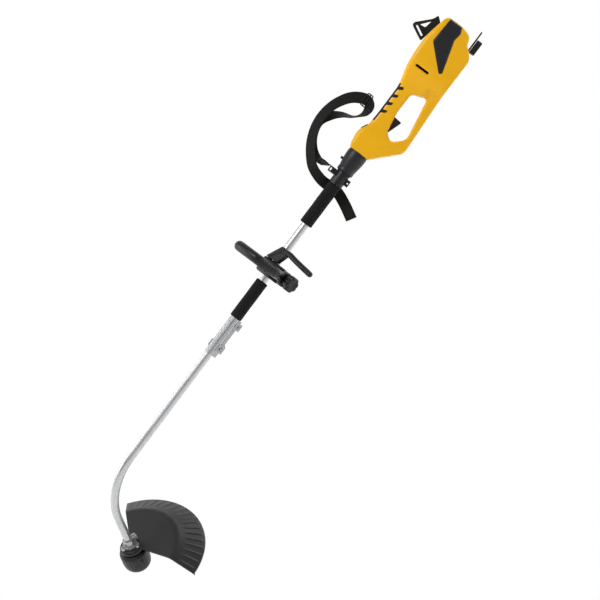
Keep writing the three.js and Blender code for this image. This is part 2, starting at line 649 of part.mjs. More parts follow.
// Barrier bar: a web up the shaft from the clamp, then the bar out to the left
function barrierShape() {
  const { set, length, radius, rake, height } = barrier;
  const root = clampHigh + gap;
  const tipAt = set - rake + 14;
  const curve = path([
    [-height, 19, root], [-height, 14, root + 6], [-height, 1, set - 3], [-height, -14, set + 9],
    [-height, -36, set + 13], [-height, -70, set + 9], [-height, -length + 2, tipAt],
  ]);
  const tip = new THREE.SphereGeometry(radius * 0.99, 10, 6).translate(-height, -length + 2, tipAt);
  const web = planSlab([
    [root, 27], [root, -22], [set, -33], [set + 12, -36], [set + 20, -14], [set + 21, -3],
  ], -height - 7, -height + 7);
  return cut(join(swept(curve, 16, radius, 0, 10), tip, web), block(-60, 60, -200, 60, -60, root),
    rod(onTube, -50, 90, 24));
}
part(front, 'barrier_bar', barrierShape(), 'black');

// ---------------------------------------------------------------- shaft connector

const link = frameIn(shaft, { turn: connectorRoll });
const lugHalf = connector.radius + gap;
function connectorShape() {
  const { radius, ribReach, ribHalf, boltDrop } = connector;
  const grooves = [];
  for (let i = 0; i < 6; i++) {
    const turn = THREE.MathUtils.degToRad(75 + 42 * i);
    grooves.push(rod(1.1, connectorEnd - 1, connectorTop + 1, 5)
      .translate((radius + 0.3) * Math.cos(turn), (radius + 0.3) * Math.sin(turn), 0));
  }
  const boltAt = connectorTop - boltDrop;
  return cut(join(
    rod(radius, connectorEnd, connectorTop, 24),
    block(5, 20, -ribHalf, ribHalf, connectorEnd, connectorTop),
    block(5, ribReach, -ribHalf, ribHalf, connectorTop - 26, connectorTop - 6),
    block(5, 24, -lugHalf, lugHalf, boltAt - 11, boltAt + 11),
  ), rod(onTube, connectorEnd - 5, connectorTop + 5, 24),
  block(8, 40, -0.8, 0.8, connectorEnd - 1, connectorTop + 1),
  crossRod(3 + gap, -30, 30, 17, boltAt, 12), crossRod(2.5 + gap, -30, 30, 22.5, connectorTop - 16, 12),
  ...grooves);
}
part(link, 'connector_body', connectorShape(), 'aluminium');
const boltAt = connectorTop - connector.boltDrop;

part(link, 'connector_bolt', join(
  crossRod(3, -lugHalf - gap - 0.1, lugHalf + gap + 20, 17, boltAt, 12),
  crossRod(6, -lugHalf - gap - 5, -lugHalf - gap, 17, boltAt, 6),
), 'steel');
part(link, 'connector_knob', knobShape(22).translate(17, lugHalf + gap, boltAt), 'black');
part(link, 'connector_screw', join(
  crossRod(2.5, -connector.ribHalf - 3, connector.ribHalf + 3, 22.5, connectorTop - 16, 10),
  crossRod(4.5, connector.ribHalf + gap, connector.ribHalf + 4, 22.5, connectorTop - 16, 12),
  crossRod(4.5, -connector.ribHalf - 4, -connector.ribHalf - gap, 22.5, connectorTop - 16, 6),
), 'steel');

// ---------------------------------------------------------------- lower tube

const lowerFrame = frameIn(shaft, { turn: frontRoll });
const bend = THREE.MathUtils.degToRad(lower.bendAngle);
const lowerTop = tubesMeet - gap;

// Straight down the shaft, round the bend towards +x, then straight to the head
class LowerLine extends THREE.Curve {
  constructor(top, tail) {
    super();
    this.straight = top - bendStart;
    this.arc = lower.bendRadius * bend;
    this.total = this.straight + this.arc + tail;
    this.top = top;
  }

  getPoint(fraction, target = new THREE.Vector3()) {
    const run = fraction * this.total;
    const onArc = THREE.MathUtils.clamp((run - this.straight) / lower.bendRadius, 0, bend);
    const past = Math.max(run - this.straight - this.arc, 0);
    const drop = Math.min(run, this.straight);
    return target.set(
      lower.bendRadius * (1 - Math.cos(onArc)) + past * Math.sin(bend),
      0,
      this.top - drop - lower.bendRadius * Math.sin(onArc) - past * Math.cos(bend),
    );
  }
}
const tubeEndUp = 2; // the tube stops this far above the flange's lower face
part(lowerFrame, 'lower_tube',
  swept(new LowerLine(lowerTop, lower.end - tubeEndUp), 30, tube.radius, tubeInner, 12), 'aluminium');
part(lowerFrame, 'lower_drive',
  swept(new LowerLine(tubesMeet - 1, lower.end - 10), 30, driveRadius, 0, 6), 'steel');

// ---------------------------------------------------------------- cutting head

const headFrame = new THREE.Group();
const headPlace = new LowerLine(lowerTop, lower.end).getPoint(1);
headFrame.position.copy(headPlace);
headFrame.rotation.y = -bend;
lowerFrame.add(headFrame);

const lobeAt = (i) => (2 * Math.PI * i) / 3 + Math.PI / 3;
function flangeShape() {
  const { radius, lobe, lobeCircle, thickness, hubRadius, hub } = flange;
  const lobes = [0, 1, 2].map((i) => rod(lobe, 0, thickness, 16)
    .translate(lobeCircle * Math.cos(lobeAt(i)), lobeCircle * Math.sin(lobeAt(i)), 0));
  const holes = [0, 1, 2].map((i) => rod(2.2 + gap, -5, 20, 8)
    .translate(lobeCircle * Math.cos(lobeAt(i)), lobeCircle * Math.sin(lobeAt(i)), 0));
  const ears = block(8, 25, -7, 7, thickness + 5, hub - 2);
  return cut(join(rod(radius, 0, thickness, 20), ...lobes, rod(hubRadius, 0, hub, 16), ears),
    rod(onTube + 0.3, tubeEndUp - gap, hub + 5, 16), rod(8, -5, 10, 20), ...holes,
    block(8, 40, -1, 1, thickness + 0.5, hub + 5), crossRod(2.3 + gap, -20, 20, 20, 17.5, 12));
}
part(headFrame, 'end_flange', flangeShape(), 'aluminium');
part(headFrame, 'flange_bolt', join(
  crossRod(2.3, -10, 10, 20, 17.5, 10), crossRod(4.2, 7 + gap, 11, 20, 17.5, 12),
  crossRod(4.2, -11, -7 - gap, 20, 17.5, 6),
), 'steel');

// Guard: flat top plate, conical skirt and a low lip at both ends, between the flange and the head
const guardTop = -gap;
const guardUnder = guardTop - guard.wall;
function guardWedge(grow, reach = 400) {
  const points = [new THREE.Vector2(-12 * (1 + grow / 20), 0)];
  for (let i = 0; i <= 6; i++) {
    const turn = THREE.MathUtils.degToRad(guard.from + ((guard.to - guard.from) * i) / 6);
    points.push(new THREE.Vector2(reach * Math.cos(turn), reach * Math.sin(turn)));
  }
  return new THREE.ExtrudeGeometry(new THREE.Shape(points), { depth: 200, bevelEnabled: false })
    .translate(grow, 0, -150);
}
function guardShape() {
  const { plateRadius, rimRadius, drop, wall } = guard;
  const rim = guardTop - drop;
  const cone = (margin, foot) => turned([
    [0, guardTop - margin], [plateRadius - margin, guardTop - margin], [rimRadius - margin, rim],
    [rimRadius - margin, rim - foot], [0, rim - foot],
  ], 44);
  const ribTurn = THREE.MathUtils.degToRad(guard.from + guard.ribIn);
  const rib = common(cone(1, 3), block(plateRadius - 9, rimRadius - 9,
    -guard.ribHalf, guard.ribHalf, rim, guardUnder).rotateZ(ribTurn));
  const shell = cut(common(cone(0, 3), guardWedge(0)),
    common(cone(wall, 5), guardWedge(1.2 * wall)), cone(wall + guard.endLip, 6));
  const boss = ring(flange.radius + 9, 7, guardUnder, guardTop, 30);
  const holes = [0, 1, 2].map((i) => rod(2.2 + gap, -60, 20, 8)
    .translate(flange.lobeCircle * Math.cos(lobeAt(i)), flange.lobeCircle * Math.sin(lobeAt(i)), 0));
  const headRoom = rod(head.cupRadius + 9, -90, guardUnder, 32);
  return cut(join(shell, boss, rib), rod(7, -60, 20, 20), headRoom, ...holes);
}
part(headFrame, 'guard', guardShape(), 'black');

// Blade that trims the line, flat against a rib under the guard's skirt
const blade = { from: 138, to: 172, thickness: 2, up: 11 };
part(headFrame, 'line_cutter', block(blade.from, blade.to, guard.ribHalf + gap,
  guard.ribHalf + gap + blade.thickness, guardTop - guard.drop - 3, guardTop - guard.drop - 3 + blade.up)
  .rotateZ(THREE.MathUtils.degToRad(guard.from + guard.ribIn)), 'steel');

const baseTop = guardUnder - gap;
const baseEnd = baseTop - head.baseHeight;
const headBearing = { radius: 11, half: 3 };
const headBearingAt = (baseTop + baseEnd) / 2;
function headBaseShape() {
  const holes = [0, 1, 2].map((i) => rod(1.9 + gap, baseTop - 9, 20, 8)
    .translate(flange.lobeCircle * Math.cos(lobeAt(i)), flange.lobeCircle * Math.sin(lobeAt(i)), 0));
  return cut(turned([
    [6, baseTop], [6, baseEnd], [head.baseRadius - 3, baseEnd], [head.baseRadius, baseEnd + 4],
    [head.baseRadius, baseTop],
  ], 30),
  rod(headBearing.radius + gap, headBearingAt - headBearing.half - gap, baseTop + 1, 20), ...holes);
}
part(headFrame, 'head_base', headBaseShape(), 'black');
part(headFrame, 'head_bearing', ring(headBearing.radius, 5 + gap,
  headBearingAt - headBearing.half, headBearingAt + headBearing.half, 20), 'steel');
for (let i = 0; i < 3; i++) {
  const [x, y] = [Math.cos(lobeAt(i)), Math.sin(lobeAt(i))].map((v) => v * flange.lobeCircle);
  const shape = join(rod(1.9, baseTop - 8, flange.thickness + 1, 10),
    rod(4.2, flange.thickness + gap, flange.thickness + 3.5, 12)).translate(x, y, 0);
  part(headFrame, `flange_screw_${i + 1}`, shape, 'steel');
}

const cupTop = baseEnd - 1.5;
const cupEnd = cupTop - head.cupHeight;
const reel = { top: cupTop - head.cupWall - 4.5, end: cupEnd + 19, radius: 33, core: 20 };
function cupShape() {
  const { cupRadius, cupWall, buttonRadius } = head;
  const mouth = buttonRadius + 0.8;
  const shell = turned([
    [5 + gap, cupTop], [cupRadius - 6, cupTop], [cupRadius - 1, cupTop - 5], [cupRadius, cupTop - 12],
    [cupRadius, cupEnd + 22], [cupRadius - 3, cupEnd + 10], [cupRadius - 10, cupEnd], [mouth, cupEnd],
    [mouth, cupEnd + cupWall], [cupRadius - 12, cupEnd + cupWall], [cupRadius - cupWall, cupEnd + 22],
    [cupRadius - cupWall, cupTop - 8], [cupRadius - 8, cupTop - cupWall], [5 + gap, cupTop - cupWall],
  ], 24);
  const outlets = crossRod(3.2, -60, 60, 0, (reel.top + reel.end) / 2, 8);
  return cut(shell, outlets);
}
part(headFrame, 'spool_housing', cupShape(), 'black');
part(headFrame, 'spindle', join(rod(5, cupEnd + 14, -1.5, 16), rod(7, cupTop - head.cupWall - 3.5,
  cupTop - head.cupWall - gap, 6)), 'steel');

part(headFrame, 'line_reel', turned([
  [7.5, reel.top], [reel.radius, reel.top], [reel.radius, reel.top - 1.6], [reel.core, reel.top - 1.6],
  [reel.core, reel.end + 1.6], [reel.radius, reel.end + 1.6], [reel.radius, reel.end], [7.5, reel.end],
], 28), 'black');
part(headFrame, 'cutting_line',
  ring(reel.radius - 3, reel.core + gap, reel.end + 1.6 + gap, reel.top - 1.6 - gap, 28), 'line');

const buttonTop = reel.end - head.buttonTravel - 1.5;
const buttonEnd = cupEnd - head.buttonProud;
function buttonShape() {
  const { buttonRadius: r } = head;
  return turned([
    [0, buttonEnd + 2.5], [0, buttonEnd], [r - 9, buttonEnd], [r - 3, buttonEnd + 2], [r, buttonEnd + 6],
    [r, buttonTop], [r - 2.5, buttonTop], [r - 2.5, buttonEnd + 6], [r - 9, buttonEnd + 2.5],
  ], 28);
}
part(headFrame, 'bump_button', buttonShape(), 'black');
function reelSpringShape() {
  const turns = 3;
  const [low, high] = [buttonEnd + 4.3, reel.end - 1.3];
  const points = [];
  for (let i = 0; i <= turns * 8; i++) {
    const turn = (2 * Math.PI * i) / 8;
    points.push([10 * Math.cos(turn), 10 * Math.sin(turn), low + ((high - low) * i) / (turns * 8)]);
  }
  return swept(path(points), turns * 10, 0.9, 0, 5);
}
part(headFrame, 'reel_spring', reelSpringShape(), 'steel');

export default trimmer;
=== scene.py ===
import json
import math

import bmesh
import bpy
import numpy as np
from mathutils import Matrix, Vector
from mathutils.geometry import delaunay_2d_cdt

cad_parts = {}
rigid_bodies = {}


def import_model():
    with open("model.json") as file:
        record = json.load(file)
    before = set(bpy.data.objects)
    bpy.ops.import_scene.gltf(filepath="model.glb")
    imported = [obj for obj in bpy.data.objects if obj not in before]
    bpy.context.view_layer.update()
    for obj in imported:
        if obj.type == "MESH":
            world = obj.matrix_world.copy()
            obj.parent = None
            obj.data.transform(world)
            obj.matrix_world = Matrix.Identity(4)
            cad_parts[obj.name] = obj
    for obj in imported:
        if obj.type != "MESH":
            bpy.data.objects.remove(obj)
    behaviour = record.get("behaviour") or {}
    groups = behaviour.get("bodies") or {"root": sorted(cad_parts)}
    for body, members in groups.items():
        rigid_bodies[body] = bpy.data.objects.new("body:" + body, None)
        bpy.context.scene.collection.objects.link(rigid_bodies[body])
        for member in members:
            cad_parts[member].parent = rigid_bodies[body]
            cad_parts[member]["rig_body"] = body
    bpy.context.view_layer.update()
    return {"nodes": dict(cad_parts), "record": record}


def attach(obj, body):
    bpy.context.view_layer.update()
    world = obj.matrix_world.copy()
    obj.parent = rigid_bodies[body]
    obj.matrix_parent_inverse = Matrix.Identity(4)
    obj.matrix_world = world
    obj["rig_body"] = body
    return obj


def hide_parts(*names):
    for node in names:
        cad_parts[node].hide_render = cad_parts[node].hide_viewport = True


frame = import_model()

# The shaft's frame, in millimetres: z runs up the shaft to the motor, x to the tool's underside
# and y to its right. It leans in the row frame, and other frames stand on it at a turn round z.
shaftLean = math.radians(36.87)
stations = {"bodyFront": 83.3, "handleMiddle": -294.3, "tubesMeet": -505.8, "bendStart": -901.6}
lowerTube = {"radius": 11.0, "wall": 1.5, "bendRadius": 173.0, "bend": math.radians(65), "end": 110.0}
turns = {"shaft": 0.0, "body": 0.0, "front": 46.5, "link": 20.0, "lower": 46.5, "head": 46.5}
lifts = {"body": stations["bodyFront"], "front": stations["handleMiddle"]}


def toRow(points, where):
    # head turns and moves into the lower tube's frame, then turn round z, lift along z, lean
    p = np.asarray(points, float).reshape(-1, 3)
    x, y, z = p[:, 0], p[:, 1], p[:, 2]
    if where == "head":
        bend, bendRadius, end = lowerTube["bend"], lowerTube["bendRadius"], lowerTube["end"]
        x, z = x * math.cos(bend) - z * math.sin(bend), x * math.sin(bend) + z * math.cos(bend)
        x = x + bendRadius * (1 - math.cos(bend)) + end * math.sin(bend)
        z = z + stations["bendStart"] - bendRadius * math.sin(bend) - end * math.cos(bend)
    turn = math.radians(turns[where])
    x, y = x * math.cos(turn) - y * math.sin(turn), x * math.sin(turn) + y * math.cos(turn)
    z = z + lifts.get(where, 0.0)
    c, s = math.cos(shaftLean), math.sin(shaftLean)
    return np.stack([x * c + z * s, y, -x * s + z * c], 1) / 1000.0


class Wire:
    # a socket whose operators add Math nodes
    def __init__(self, tree, socket):
        self.tree = tree
        self.socket = socket

    def math(self, operation, a, b):
        return Shader(self.tree).node("ShaderNodeMath", {"operation": operation}, {0: a, 1: b})

    def __add__(self, other):
        return self.math("ADD", self, other)

    def __sub__(self, other):
        return self.math("SUBTRACT", self, other)

    def __mul__(self, other):
        return self.math("MULTIPLY", self, other)


class Shader:
    def __init__(self, tree):
        self.tree = tree

    def node(self, kind, settings=None, inputs=None, out=0):
        # any node: its settings are set first, then the values or links of its sockets
        made = self.tree.nodes.new(kind)
        for name, value in (settings or {}).items():
            if name == "stops":
                ramp = made.color_ramp.elements
                for i, (at, colour) in enumerate(value):
                    stop = ramp[i] if i < 2 else ramp.new(at)
                    stop.position = at
                    stop.color = (*colour, 1)
            else:
                setattr(made, name, value)
        for name, value in (inputs or {}).items():
            if isinstance(value, Wire):
                self.tree.links.new(value.socket, made.inputs[name])
            elif value is not None:
                made.inputs[name].default_value = value
        return Wire(self.tree, made.outputs[out])

    def noise(self, at, scale, detail=3.0, roughness=0.55):
        return self.node("ShaderNodeTexNoise", {},
                         {"Vector": at, "Scale": scale, "Detail": detail, "Roughness": roughness})

    def tint(self, factor, first, second):
        return self.node("ShaderNodeMix", {"data_type": "RGBA"},
                         {0: factor, 6: (*first, 1), 7: (*second, 1)}, out=2)


def material(name, **fixed):
    made = bpy.data.materials.new(name)
    made.use_nodes = True
    surface = made.node_tree.nodes["Principled BSDF"]
    for socket, value in fixed.items():
        surface.inputs[socket.replace("_", " ")].default_value = value
    shader = Shader(made.node_tree)
    place = shader.node("ShaderNodeTexCoord", out=3)
    return made, surface, shader, place


def feed(shader, surface, **wires):
    for socket, wire in wires.items():
        shader.tree.links.new(wire.socket, surface.inputs[socket.replace("_", " ")])


def bump(shader, height, strength, depth, **settings):
    # a height in millimetres pressed into the surface's normal
    return shader.node("ShaderNodeBump", settings,
                       {"Strength": strength, "Height": height, "Distance": depth / 1000})


def along(shader, place, stretch):
    # row frame to the shaft's frame, then drawn out along it, for brushed and drawn metal
    return shader.node("ShaderNodeMapping", {"vector_type": "POINT"},
                       {"Vector": place, "Rotation": (0, -shaftLean, 0), "Scale": stretch})


plastics = {
    # colour, darker colour, roughness, grains per metre and grain height in mm
    "yellow_plastic": {"colour": (0.88, 0.455, 0.0), "low": (0.82, 0.41, 0.0), "rough": 0.40,
                       "grain": 1400, "height": 0.02},
    "grey_panel": {"colour": (0.018, 0.017, 0.021), "low": (0.009, 0.0085, 0.011), "rough": 0.42,
                   "grain": 1100, "height": 0.09},
    "black_plastic": {"colour": (0.0085, 0.0085, 0.009), "low": (0.004, 0.004, 0.0045), "rough": 0.42,
                      "grain": 1300, "height": 0.05},
    "guard_plastic": {"colour": (0.0145, 0.0155, 0.0145), "low": (0.009, 0.0098, 0.009), "rough": 0.45,
                      "grain": 900, "height": 0.06},
    "spool_plastic": {"colour": (0.009, 0.0078, 0.007), "low": (0.005, 0.0042, 0.004), "rough": 0.4,
                      "grain": 1200, "height": 0.04},
    "soft_grip": {"colour": (0.010, 0.010, 0.010), "low": (0.006, 0.006, 0.006), "rough": 0.72,
                  "grain": 1500, "height": 0.08},
    "carbon": {"colour": (0.03, 0.03, 0.032), "low": (0.012, 0.012, 0.013), "rough": 0.6,
               "grain": 2200, "height": 0.05},
    "line_nylon": {"colour": (0.72, 0.21, 0.02), "low": (0.55, 0.13, 0.01), "rough": 0.3,
                   "grain": 300, "height": 0.02},
}


def mouldedPlastic(name, look):
    # two tones by broad noise, spark-eroded grain in the bump, roughness that drifts slowly
    made, surface, shader, place = material(name, Specular_IOR_Level=0.34)
    broad = shader.noise(place, 9.0, 4.0)
    fine = shader.noise(place, float(look["grain"]), 2.0)
    specks = shader.noise(place, 260.0, 2.0)
    feed(shader, surface,
         Base_Color=shader.tint(broad * 0.8 + specks * 0.2, look["low"], look["colour"]),
         Roughness=(broad - 0.5) * 0.16 + (fine - 0.5) * 0.10 + look["rough"],
         Normal=bump(shader, fine, 0.6, look["height"]))
    return made


metals = {
    "tube_aluminium": {"colour": (0.60, 0.605, 0.61), "low": (0.50, 0.505, 0.515), "rough": 0.36,
                       "stretch": (900, 900, 6)},
    "cast_aluminium": {"colour": (0.56, 0.565, 0.57), "low": (0.34, 0.345, 0.355), "rough": 0.34,
                       "stretch": (160, 160, 160)},
    "steel": {"colour": (0.46, 0.465, 0.47), "low": (0.30, 0.305, 0.315), "rough": 0.30,
              "stretch": (300, 300, 300)},
    "laminated_steel": {"colour": (0.50, 0.51, 0.53), "low": (0.25, 0.26, 0.28), "rough": 0.42,
                        "stretch": (4, 4, 1600)},
    "copper": {"colour": (0.72, 0.30, 0.14), "low": (0.45, 0.16, 0.07), "rough": 0.34,
               "stretch": (500, 500, 80)},
}


def workedMetal(name, look):
    # noise drawn out along the shaft sets the tone, the roughness and a very low bump
    made, surface, shader, place = material(name, Metallic=1.0)
    drawn = shader.noise(along(shader, place, look["stretch"]), 1.0, 4.0)
    smudge = shader.noise(place, 14.0, 3.0)
    feed(shader, surface,
         Base_Color=shader.tint(drawn * 0.7 + smudge * 0.3, look["low"], look["colour"]),
         Roughness=(smudge - 0.5) * 0.18 + (drawn - 0.5) * 0.12 + look["rough"],
         Normal=bump(shader, drawn, 0.35, 0.06))
    return made


def foamRubber():
    # closed cells a little under a millimetre across, with painted shade darkening their hollows
    made, surface, shader, place = material("foam", Specular_IOR_Level=0.25)
    cells = shader.node("ShaderNodeTexVoronoi", {"feature": "F1"}, {"Vector": place, "Scale": 900.0})
    lumps = shader.noise(place, 420.0, 3.0)
    # painted shade: the colour grows darker where the inverted bump presses the surface in, with random lumps
    # mixed in
    feed(shader, surface,
         Base_Color=shader.tint(cells * 1.1 + (lumps - 0.5), (0.011, 0.011, 0.012), (0.003, 0.003, 0.003)),
         Roughness=lumps * 0.2 + 0.78,
         Normal=bump(shader, cells + lumps * 0.8, 1.0, 0.7, invert=True))
    return made


def wovenWebbing():
    # UV in millimetres: ribs across every 1.6, twill lines along every 1.2, both as raised sines
    made, surface, shader, place = material("webbing", Specular_IOR_Level=0.2, Sheen_Weight=0.08,
                                            Sheen_Roughness=0.5)
    uv = shader.node("ShaderNodeTexCoord", out=2)
    across = shader.node("ShaderNodeSeparateXYZ", {}, {0: uv}, out=0)
    run = shader.node("ShaderNodeSeparateXYZ", {}, {0: uv}, out=1)
    wave = lambda v: shader.node("ShaderNodeMath", {"operation": "SINE"}, {0: v}) * 0.5 + 0.5
    rib = wave(run * (2 * math.pi / 1.6))
    twill = wave(across * (2 * math.pi / 1.2) + run * (math.pi / 1.6))
    yarn = rib * 0.6 + twill * 0.4
    dust = shader.noise(place, 60.0, 4.0)
    # painted shade: the colour is darker in the weave's grooves and lighter on the raised yarn that the bump
    # lifts, with some random dust mixed in
    feed(shader, surface,
         Base_Color=shader.tint(yarn * 0.7 + dust * 0.3, (0.003, 0.003, 0.0025), (0.015, 0.015, 0.012)),
         Roughness=dust * 0.15 + 0.8,
         Normal=bump(shader, yarn + dust * 0.3, 0.9, 0.4))
    return made


finishes = {name: mouldedPlastic(name, look) for name, look in plastics.items()}
finishes.update({name: workedMetal(name, look) for name, look in metals.items()})
finishes["foam"] = foamRubber()
finishes["webbing"] = wovenWebbing()
print("materials made:", len(finishes))


def placed(name, data):
    # a new object, linked to the scene
    made = bpy.data.objects.new(name, data)
    bpy.context.scene.collection.objects.link(made)
    return made


def piece(name, points, faces, where, finish, body, replaced=(), uv=None, sharp=40, outward=True):
    mesh = bpy.data.meshes.new(name)
    mesh.from_pydata(toRow(points, where).tolist(), [], [list(map(int, f)) for f in faces])
    if uv is not None:
        layer = mesh.uv_layers.new(name="cloth")
        corner = np.zeros(len(mesh.loops), np.int32)
        mesh.loops.foreach_get("vertex_index", corner)
        layer.data.foreach_set("uv", np.asarray(uv, np.float32)[corner].ravel())
    made = placed(name, mesh)
    if outward:
        tidy(mesh)
    return dress(made, finish, body, replaced, sharp)


def tidy(mesh, merge=1e-6):
    bm = bmesh.new()
    bm.from_mesh(mesh)
    bmesh.ops.remove_doubles(bm, verts=bm.verts, dist=merge)
    bmesh.ops.recalc_face_normals(bm, faces=bm.faces)
    bm.to_mesh(mesh)
    bm.free()


def dress(made, finish, body, replaced=(), sharp=40):
    made.data.shade_smooth()
    made.data.set_sharp_from_angle(angle=math.radians(sharp))
    made.data.materials.clear()
    made.data.materials.append(finishes[finish])
    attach(made, body)
    if replaced:
        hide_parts(*replaced)
    return made


def gridFaces(rows, columns, closeRows=False, closeColumns=False):
    # quads between neighbours of a rows by columns grid, wrapped round where it closes
    r = np.arange(rows if closeRows else rows - 1)
    c = np.arange(columns if closeColumns else columns - 1)
    r, c = np.meshgrid(r, c, indexing="ij")
    rNext, cNext = (r + 1) % rows, (c + 1) % columns
    corners = [r * columns + c, r * columns + cNext, rNext * columns + cNext, rNext * columns + c]
    return np.stack([k.ravel() for k in corners], 1)


def cappedFaces(rows, sides):
    # a tube of quads with both its ends filled
    last = (rows - 1) * sides
    ends = [list(range(sides))[::-1], list(range(last, last + sides))]
    return gridFaces(rows, sides, closeColumns=True).tolist() + ends


def join(*shapes):
    # several (points, faces) in one
    points, faces, count = [], [], 0
    for p, f in shapes:
        p = np.asarray(p, float).reshape(-1, 3)
        points.append(p)
        faces += [[int(i) + count for i in face] for face in f]
        count += len(p)
    return np.concatenate(points), faces


def rounded(corners, steps=8):
    # outline whose corners are quadratic curves: each corner is (a, b, reach of the curve)
    out = []
    for i, corner in enumerate(corners):
        here = np.array(corner[:2], float)
        reach = corner[2] if len(corner) > 2 else 0.01
        ends = []
        for other in (corners[i - 1], corners[(i + 1) % len(corners)]):
            away = np.array(other[:2], float) - here
            ends.append(here + away * min(reach / np.linalg.norm(away), 0.45))
        t = np.linspace(0, 1, steps + 1)[:, None]
        out.append((1 - t) ** 2 * ends[0] + 2 * t * (1 - t) * here + t ** 2 * ends[1])
    return np.concatenate(out)


def travelled(line):
    # the distance run along a line at each of its points
    return np.concatenate([[0], np.cumsum(np.linalg.norm(np.diff(line, axis=0), axis=1))])


def resampled(outline, spacing):
    # the same closed outline with evenly spaced points
    closed = np.vstack([outline, outline[:1]])
    run = travelled(closed)
    keep = np.concatenate([[True], np.diff(run) > 1e-9])
    at = np.linspace(0, run[-1], max(int(run[-1] / spacing), 12), endpoint=False)
    return np.stack([np.interp(at, run[keep], closed[keep, k]) for k in (0, 1)], 1)


def inwards(outline):
    # unit normal into the outline at each point, whichever way round it runs
    run = np.roll(outline, -1, 0) - np.roll(outline, 1, 0)
    run /= np.linalg.norm(run, axis=1, keepdims=True) + 1e-12
    a, b = outline, np.roll(outline, -1, 0)
    area = np.sum(a[:, 0] * b[:, 1] - b[:, 0] * a[:, 1])
    return np.stack([-run[:, 1], run[:, 0]], 1) * (1 if area > 0 else -1)


def inside(outline, p):
    # crossing count of a ray to the right, for all points at once
    a, b = outline, np.roll(outline, -1, 0)
    y = p[:, 1][:, None]
    spans = (a[:, 1] > y) != (b[:, 1] > y)
    rise = np.where(np.abs(b[:, 1] - a[:, 1]) < 1e-12, 1e-12, b[:, 1] - a[:, 1])
    cross = a[:, 0] + (y - a[:, 1]) * (b[:, 0] - a[:, 0]) / rise
    return (np.sum(spans & (p[:, 0][:, None] < cross), 1) % 2) == 1


def distance(outline, p):
    # from each point to the nearest edge of the outline
    a, b = outline[None], np.roll(outline, -1, 0)[None]
    q, e = p[:, None], b - a
    t = np.clip(np.sum((q - a) * e, 2) / (np.sum(e * e, 2) + 1e-12), 0, 1)
    return np.sqrt(np.min(np.sum((q - a - e * t[..., None]) ** 2, 2), 1))


def filled(loops, spacing):
    # triangles inside the first loop and outside the others, on a staggered grid of points
    low, high = loops[0].min(0), loops[0].max(0)
    a, b = np.meshgrid(np.arange(low[0], high[0], spacing), np.arange(low[1], high[1], spacing * 0.87),
                       indexing="ij")
    a = a + (np.arange(a.shape[1]) % 2) * spacing / 2
    grid = np.stack([a.ravel(), b.ravel()], 1)
    keep = inside(loops[0], grid) & (distance(loops[0], grid) > spacing * 0.55)
    for hole in loops[1:]:
        keep &= ~inside(hole, grid) & (distance(hole, grid) > spacing * 0.55)
    count, edges = 0, []
    for loop in loops:
        n = len(loop)
        edges += [(count + i, count + (i + 1) % n) for i in range(n)]
        count += n
    everything = np.vstack([*loops, grid[keep]])
    out = delaunay_2d_cdt([Vector(p) for p in everything], edges, [], 0, 1e-5)
    points = np.array([tuple(p) for p in out[0]])
    faces = np.array([f for f in out[2] if len(f) == 3])
    middle = points[faces].mean(1)
    good = inside(loops[0], middle)
    for hole in loops[1:]:
        good &= ~inside(hole, middle)
    return points, faces[good]


def modifier(made, kind, **settings):
    added = made.modifiers.new(kind.lower(), kind)
    for name, value in settings.items():
        setattr(added, name, value)
    return added


def thickened(made, inner, where, wall):
    # an open skin turned to face away from a point inside it, then given its wall
    middle = Vector(toRow([inner], where)[0])
    mesh = made.data
    if sum((f.center - middle).dot(f.normal) * f.area for f in mesh.polygons) < 0:
        mesh.flip_normals()
    modifier(made, "SOLIDIFY", thickness=wall / 1000, offset=-1, use_rim=True)


def runTogether(made, voxel, passes):
    # overlapping solids made one, with the joins between them softened
    modifier(made, "REMESH", mode="VOXEL", voxel_size=voxel / 1000, use_smooth_shade=True)
    modifier(made, "SMOOTH", factor=0.5, iterations=passes)


def smoothStep(x, low, high):
    t = np.clip((x - low) / (high - low), 0, 1)
    return t * t * (3 - 2 * t)


# The housing is two shells. Each stands off the seam by a smoothed half width, and its edge is
# rolled over by a quarter circle round the outline and round the hand opening.
housing = {
    "outline": [
        (0, 27.5, 3), (11, 33, 8), (42, 38, 10), (57, 34, 6), (71, 25, 8), (108, 22.5, 12),
        (204, 22.5, 12), (259, 38.5, 20), (308, 42.5, 20), (348, 43, 20), (415, 29, 12),
        (423, 19, 6), (423, -21, 12), (413, -51, 14), (389, -58, 8), (371, -80, 8),
        (357, -87, 8), (239, -86, 30), (77, -95, 8), (66, -91, 6), (0, -28, 3),
    ],
    "window": [(206, -18, 10), (221, -58, 12), (102, -78.5, 14), (72, -48.5, 14), (88, -27, 3),
               (145, -16.5, 10)],
    "halfWidths": [(0, 27), (40, 29), (62, 28), (84, 21), (110, 19), (200, 19), (225, 25), (262, 42),
                   (288, 47), (372, 47), (405, 42), (423, 31)],
    "bar": 14.5, "wall": 2.4, "seam": 0.15, "windowEdge": 6.5, "spacing": 2.6,
}
sideOutline = resampled(rounded(housing["outline"]), housing["spacing"])
windowOutline = resampled(rounded(housing["window"]), housing["spacing"])
vent = {"at": 270, "half": 3.25, "low": -22, "high": 18.5, "corner": 3}
ventOutline = resampled(rounded([
    (vent["at"] + side * vent["half"], vent[end], vent["corner"])
    for side, end in ((-1, "low"), (1, "low"), (1, "high"), (-1, "high"))
], 5), 1.2)


def edgeRadius(p):
    # generous on top and at the motor, smaller at the nose, the end and under the bar
    r = 11 - 4.5 * smoothStep(-p[:, 1], 30, 62)
    r = r * smoothStep(p[:, 0], -10, 26)
    return np.maximum(np.minimum(r, 11 - 6 * smoothStep(p[:, 0], 380, 412)), 2.5)


